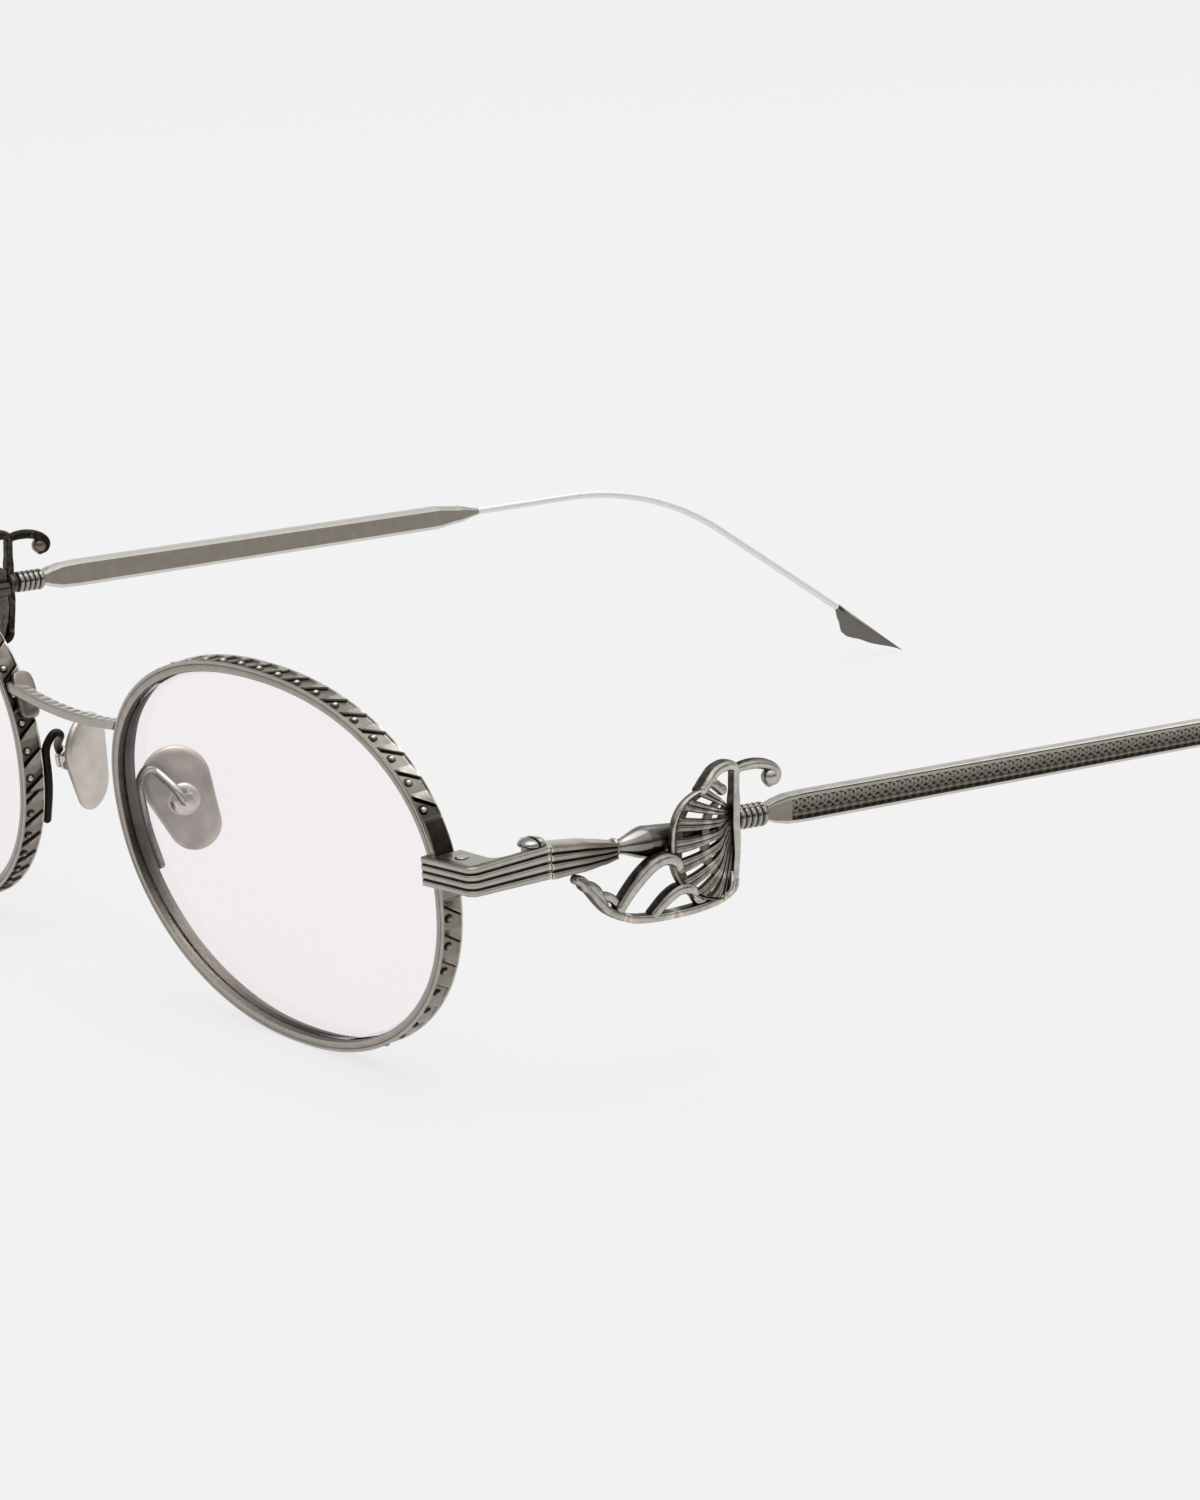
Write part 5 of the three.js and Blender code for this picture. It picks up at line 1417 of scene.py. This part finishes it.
def nose_pad():
    """Rings of the teardrop from the middle of one face over the rounded edge to the middle of the other:
    the ring's size is a cosine and its height a sine, raised to powers that flatten both faces. The face
    towards the arm is painted darker, as painted shade, and the face towards the nose lighter, as painted
    light. A domed boss and a tab stand on it."""
    turn = np.pi / 2 * np.sin(np.linspace(-np.pi / 2, np.pi / 2, 61))
    size, rise = rounded(turn, np.array([[0.32], [0.75]]))
    size = size[0].clip(0.02)
    height = PAD_NEAR + PAD_THICK / 2 * (1 + rise[1])
    outline = pad_outline(80)
    size = size[:, None]
    ring = xyz(size * outline[:, 0], size * outline[:, 1], height[:, None])
    # Painted shade on the face towards the arm, painted light on the face towards the nose.
    tone = -0.3 + 0.38 * smooth_step(-0.2, 0.3, turn)
    profile = np.array([[1.5, 1.1], [1.55, 0.95], [1.5, 0.8], [1.32, 0.65], [1.0, 0.57], [0.5, 0.55]])
    tab = np.array([[-0.55, -0.3], [0.55, -0.3], [0.55, 0.3], [-0.55, 0.3]])
    return [skin(on_pad(ring), tone[:, None]), skin(on_pad(turned(profile, 40)), 0.25),
            skin(on_pad(prism(tab, -0.5, 0.7)), -0.2)]


both_sides("nose_pad", nose_pad(), pad_silver, "pad", crease=35)

# %% [markdown]
# The pad arm is a gooseneck: a foot along the back of the rim, a loop up and over, and a forked box that
# holds the pad's tab. The same round bar follows points taken from the rim and from the box.

# %% Pad arms
ARM_RADIUS = 0.4
ARM_RINGS = 90
FIT_GAP = 0.15
BOX_HALF = 0.8
# From and to, first towards the nose and then towards the front: the box's wall and its two cheeks.
box_parts = ((-1.45, -0.75, -0.95, 0.95), (-0.9, 0.32, -0.95, -0.45), (-0.9, 0.32, 0.45, 0.95))


def pad_arm():
    """A round bar through the foot's points on the rim, the loop and the box's back, and the rounded wall
    and cheeks of the box. The foot, in the rim's shade, is darker than the loop."""
    def on_back(level):
        """A point behind the rim's nasal side at a height above its middle."""
        return rim_points(np.pi - rim_angle(level), -0.45 * RIM_THICK, RIM_DEPTH + ARM_RADIUS + FIT_GAP)

    top = on_back(1.2)
    box_back = on_pad(np.array([-0.2, 0, -1.3]))
    neck = box_back + 0.35 * (top - box_back) + [0.35, 0.45, 0.75]
    spots = np.array([
        on_back(-6.0), on_back(-3.2), on_back(-1.2), top, top + [-0.1, 0.4, 1.15], top + [0, 1.05, 1.6],
        top + [0.2, 1.7, 1.25], neck, box_back])
    off_rim = smooth_step(0.4, 0.65, np.linspace(0, 1, ARM_RINGS + 2 * len(CAP)))[:, None]
    parts = [bar(spots, ARM_RADIUS, ARM_RINGS, power=1.0, relief=0.5 * off_rim - 0.35, place=in_place)]
    c, s = rounded(full_turn(40), 0.45)
    shrink = np.array([0.8, 0.95, 1, 1, 0.95, 0.85])[:, None]
    for low, high, near, far in box_parts:
        z = low + (high - low) * np.array([0, 0.05, 0.18, 0.85, 0.95, 1])[:, None]
        y = (near + far) / 2 + (far - near) / 2 * shrink * s
        # The box's bright tone is a painted highlight.
        parts.append(skin(on_pad(xyz(BOX_HALF * shrink * c, y, z)), 0.85))
    return parts


both_sides("pad_arm", pad_arm(), aged_silver, "front", crease=40)

# %% [markdown]
# The smallest pieces, such as the rim screws and the blocks that close the rims, keep their CAD shape and
# only take a finish. The record says which finish each node has.

# %% Finishes for the CAD pieces that stay
slots = {part["node"]: part["material_slot"] for part in frame["record"]["subparts"]}
stand_ins = {made.name.replace("_shape", "") for made in pieces_made}
kept = [name for name in frame["nodes"] if name not in stand_ins]
for name in kept:
    mesh = frame["nodes"][name].data
    mesh.materials.clear()
    mesh.materials.append(finishes[slots[name]])
print("kept CAD pieces", kept)

# %% [markdown]
# The stage is a pale floor under an even sky of the same colour, as in a catalogue picture. Polished metal
# needs something to mirror, so what reflections see is a studio: the pale sweep carries on behind the
# object, the room in front of it is dark, and the ceiling is bright.

# %% Floor
PALE = (0.868, 0.868, 0.868, 1)
FLOOR_HALF = 4.0
FLOOR_GLOW = 0.85


def seen_directly(tree):
    """1 for rays from the camera, off gloss or through glass, and 0 for rays of diffuse light."""
    ray = node(tree, "ShaderNodeLightPath", {}).outputs
    seen = ray["Is Camera Ray"]
    for kind in ("Is Glossy Ray", "Is Transmission Ray"):
        seen = node(tree, "ShaderNodeMath", {0: seen, 1: ray[kind]}, operation="MAXIMUM").outputs[0]
    return seen


floor_look = bpy.data.materials.new("pale_floor")
floor_look.use_nodes = True
floor_tree = floor_look.node_tree
floor_tree.nodes.clear()
matte = node(floor_tree, "ShaderNodeBsdfDiffuse", {"Color": PALE})
glow = node(floor_tree, "ShaderNodeEmission", {"Color": PALE})
strength = node(floor_tree, "ShaderNodeMath", {
    0: seen_directly(floor_tree), 1: FLOOR_GLOW}, operation="MULTIPLY")
floor_mix = node(floor_tree, "ShaderNodeMixShader", {
    "Fac": strength.outputs[0], 1: matte.outputs[0], 2: glow.outputs[0]})
node(floor_tree, "ShaderNodeOutputMaterial", {"Surface": floor_mix.outputs[0]})

floor_mesh = bpy.data.meshes.new("floor")
floor_corners = [(x * FLOOR_HALF, y * FLOOR_HALF, 0) for x, y in ((-1, -1), (1, -1), (1, 1), (-1, 1))]
floor_mesh.from_pydata(floor_corners, [], [(0, 1, 2, 3)])
floor_mesh.materials.append(floor_look)
floor = bpy.data.objects.new("floor", floor_mesh)
scene.collection.objects.link(floor)
print("floor", 2 * FLOOR_HALF, "m wide")

# %% Sky
SWEEP_WAY = (-0.81, 0.59, 0)
SWEEP_GREYS = ((0, 0.95), (0.28, 0.95), (0.45, 0.55), (0.7, 0.6), (0.85, 1.05), (1, 1.5))
ROOM_GREYS = ((0, 0.25), (0.08, 0.12), (0.28, 0.15), (0.5, 0.85), (0.65, 1.1), (0.85, 1.1), (1, 1.5))


def bands(tree, height, levels):
    """A ramp of greys over the sine of the height above the horizon."""
    ramp = node(tree, "ShaderNodeValToRGB", {"Fac": height})
    greys = ramp.color_ramp.elements
    while len(greys) < len(levels):
        greys.new(1.0)
    for grey, (place, level) in zip(greys, levels):
        grey.position = place
        grey.color = (level, level, level, 1)
    return ramp.outputs["Color"]


sky = bpy.data.worlds.new("studio")
scene.world = sky
sky.use_nodes = True
sky_tree = sky.node_tree
sky_tree.nodes.clear()
sky_way = node(sky_tree, "ShaderNodeTexCoord", {}).outputs["Generated"]
sky_height = node(sky_tree, "ShaderNodeSeparateXYZ", {0: sky_way}).outputs["Z"]
behind = node(sky_tree, "ShaderNodeVectorMath", {0: sky_way, 1: SWEEP_WAY}, operation="DOT_PRODUCT")
fade = node(sky_tree, "ShaderNodeMapRange", {
    "Value": behind.outputs["Value"], "From Min": -0.2, "From Max": 0.5})
studio = node(sky_tree, "ShaderNodeMix", {
    "Factor": fade.outputs["Result"], "A": bands(sky_tree, sky_height, ROOM_GREYS),
    "B": bands(sky_tree, sky_height, SWEEP_GREYS)}, data_type="RGBA")
plain_sky = node(sky_tree, "ShaderNodeBackground", {"Color": PALE})
gloss_sky = node(sky_tree, "ShaderNodeBackground", {"Color": studio.outputs["Result"]})
sky_ray = node(sky_tree, "ShaderNodeLightPath", {})
sky_mix = node(sky_tree, "ShaderNodeMixShader", {
    "Fac": sky_ray.outputs["Is Glossy Ray"], 1: plain_sky.outputs[0], 2: gloss_sky.outputs[0]})
node(sky_tree, "ShaderNodeOutputWorld", {"Surface": sky_mix.outputs[0]})
print("sky nodes", len(sky_tree.nodes))

# %% [markdown]
# Two soft lamps are enough: a wide softbox above, a little to the camera's left, and a smaller one behind
# that draws a bright line along the tops of the ribs and the wire.

# %% Lamps
NEARLY_UP = (0, 0.02, 1.0)


def softbox(name, place, aim, size, power):
    """A square lamp at a place, in metres, that looks at a point."""
    lamp = bpy.data.lights.new(name, "AREA")
    lamp.size = size
    lamp.energy = power
    holder = bpy.data.objects.new(name, lamp)
    scene.collection.objects.link(holder)
    look = np.array(aim, float) - np.array(place, float)
    look /= np.linalg.norm(look)
    side = np.cross(look, NEARLY_UP)
    side /= np.linalg.norm(side)
    matrix = np.eye(4)
    matrix[:3, :3] = np.stack([side, np.cross(side, look), -look], axis=1)
    matrix[:3, 3] = place
    holder.matrix_world = Matrix(matrix.tolist())


softbox("top_softbox", (0.05, -0.15, 0.75), (0.0, -0.02, 0.02), 0.6, 1.9)
softbox("rear_softbox", (-0.25, 0.55, 0.5), (0.0, 0.0, 0.02), 0.35, 0.5)
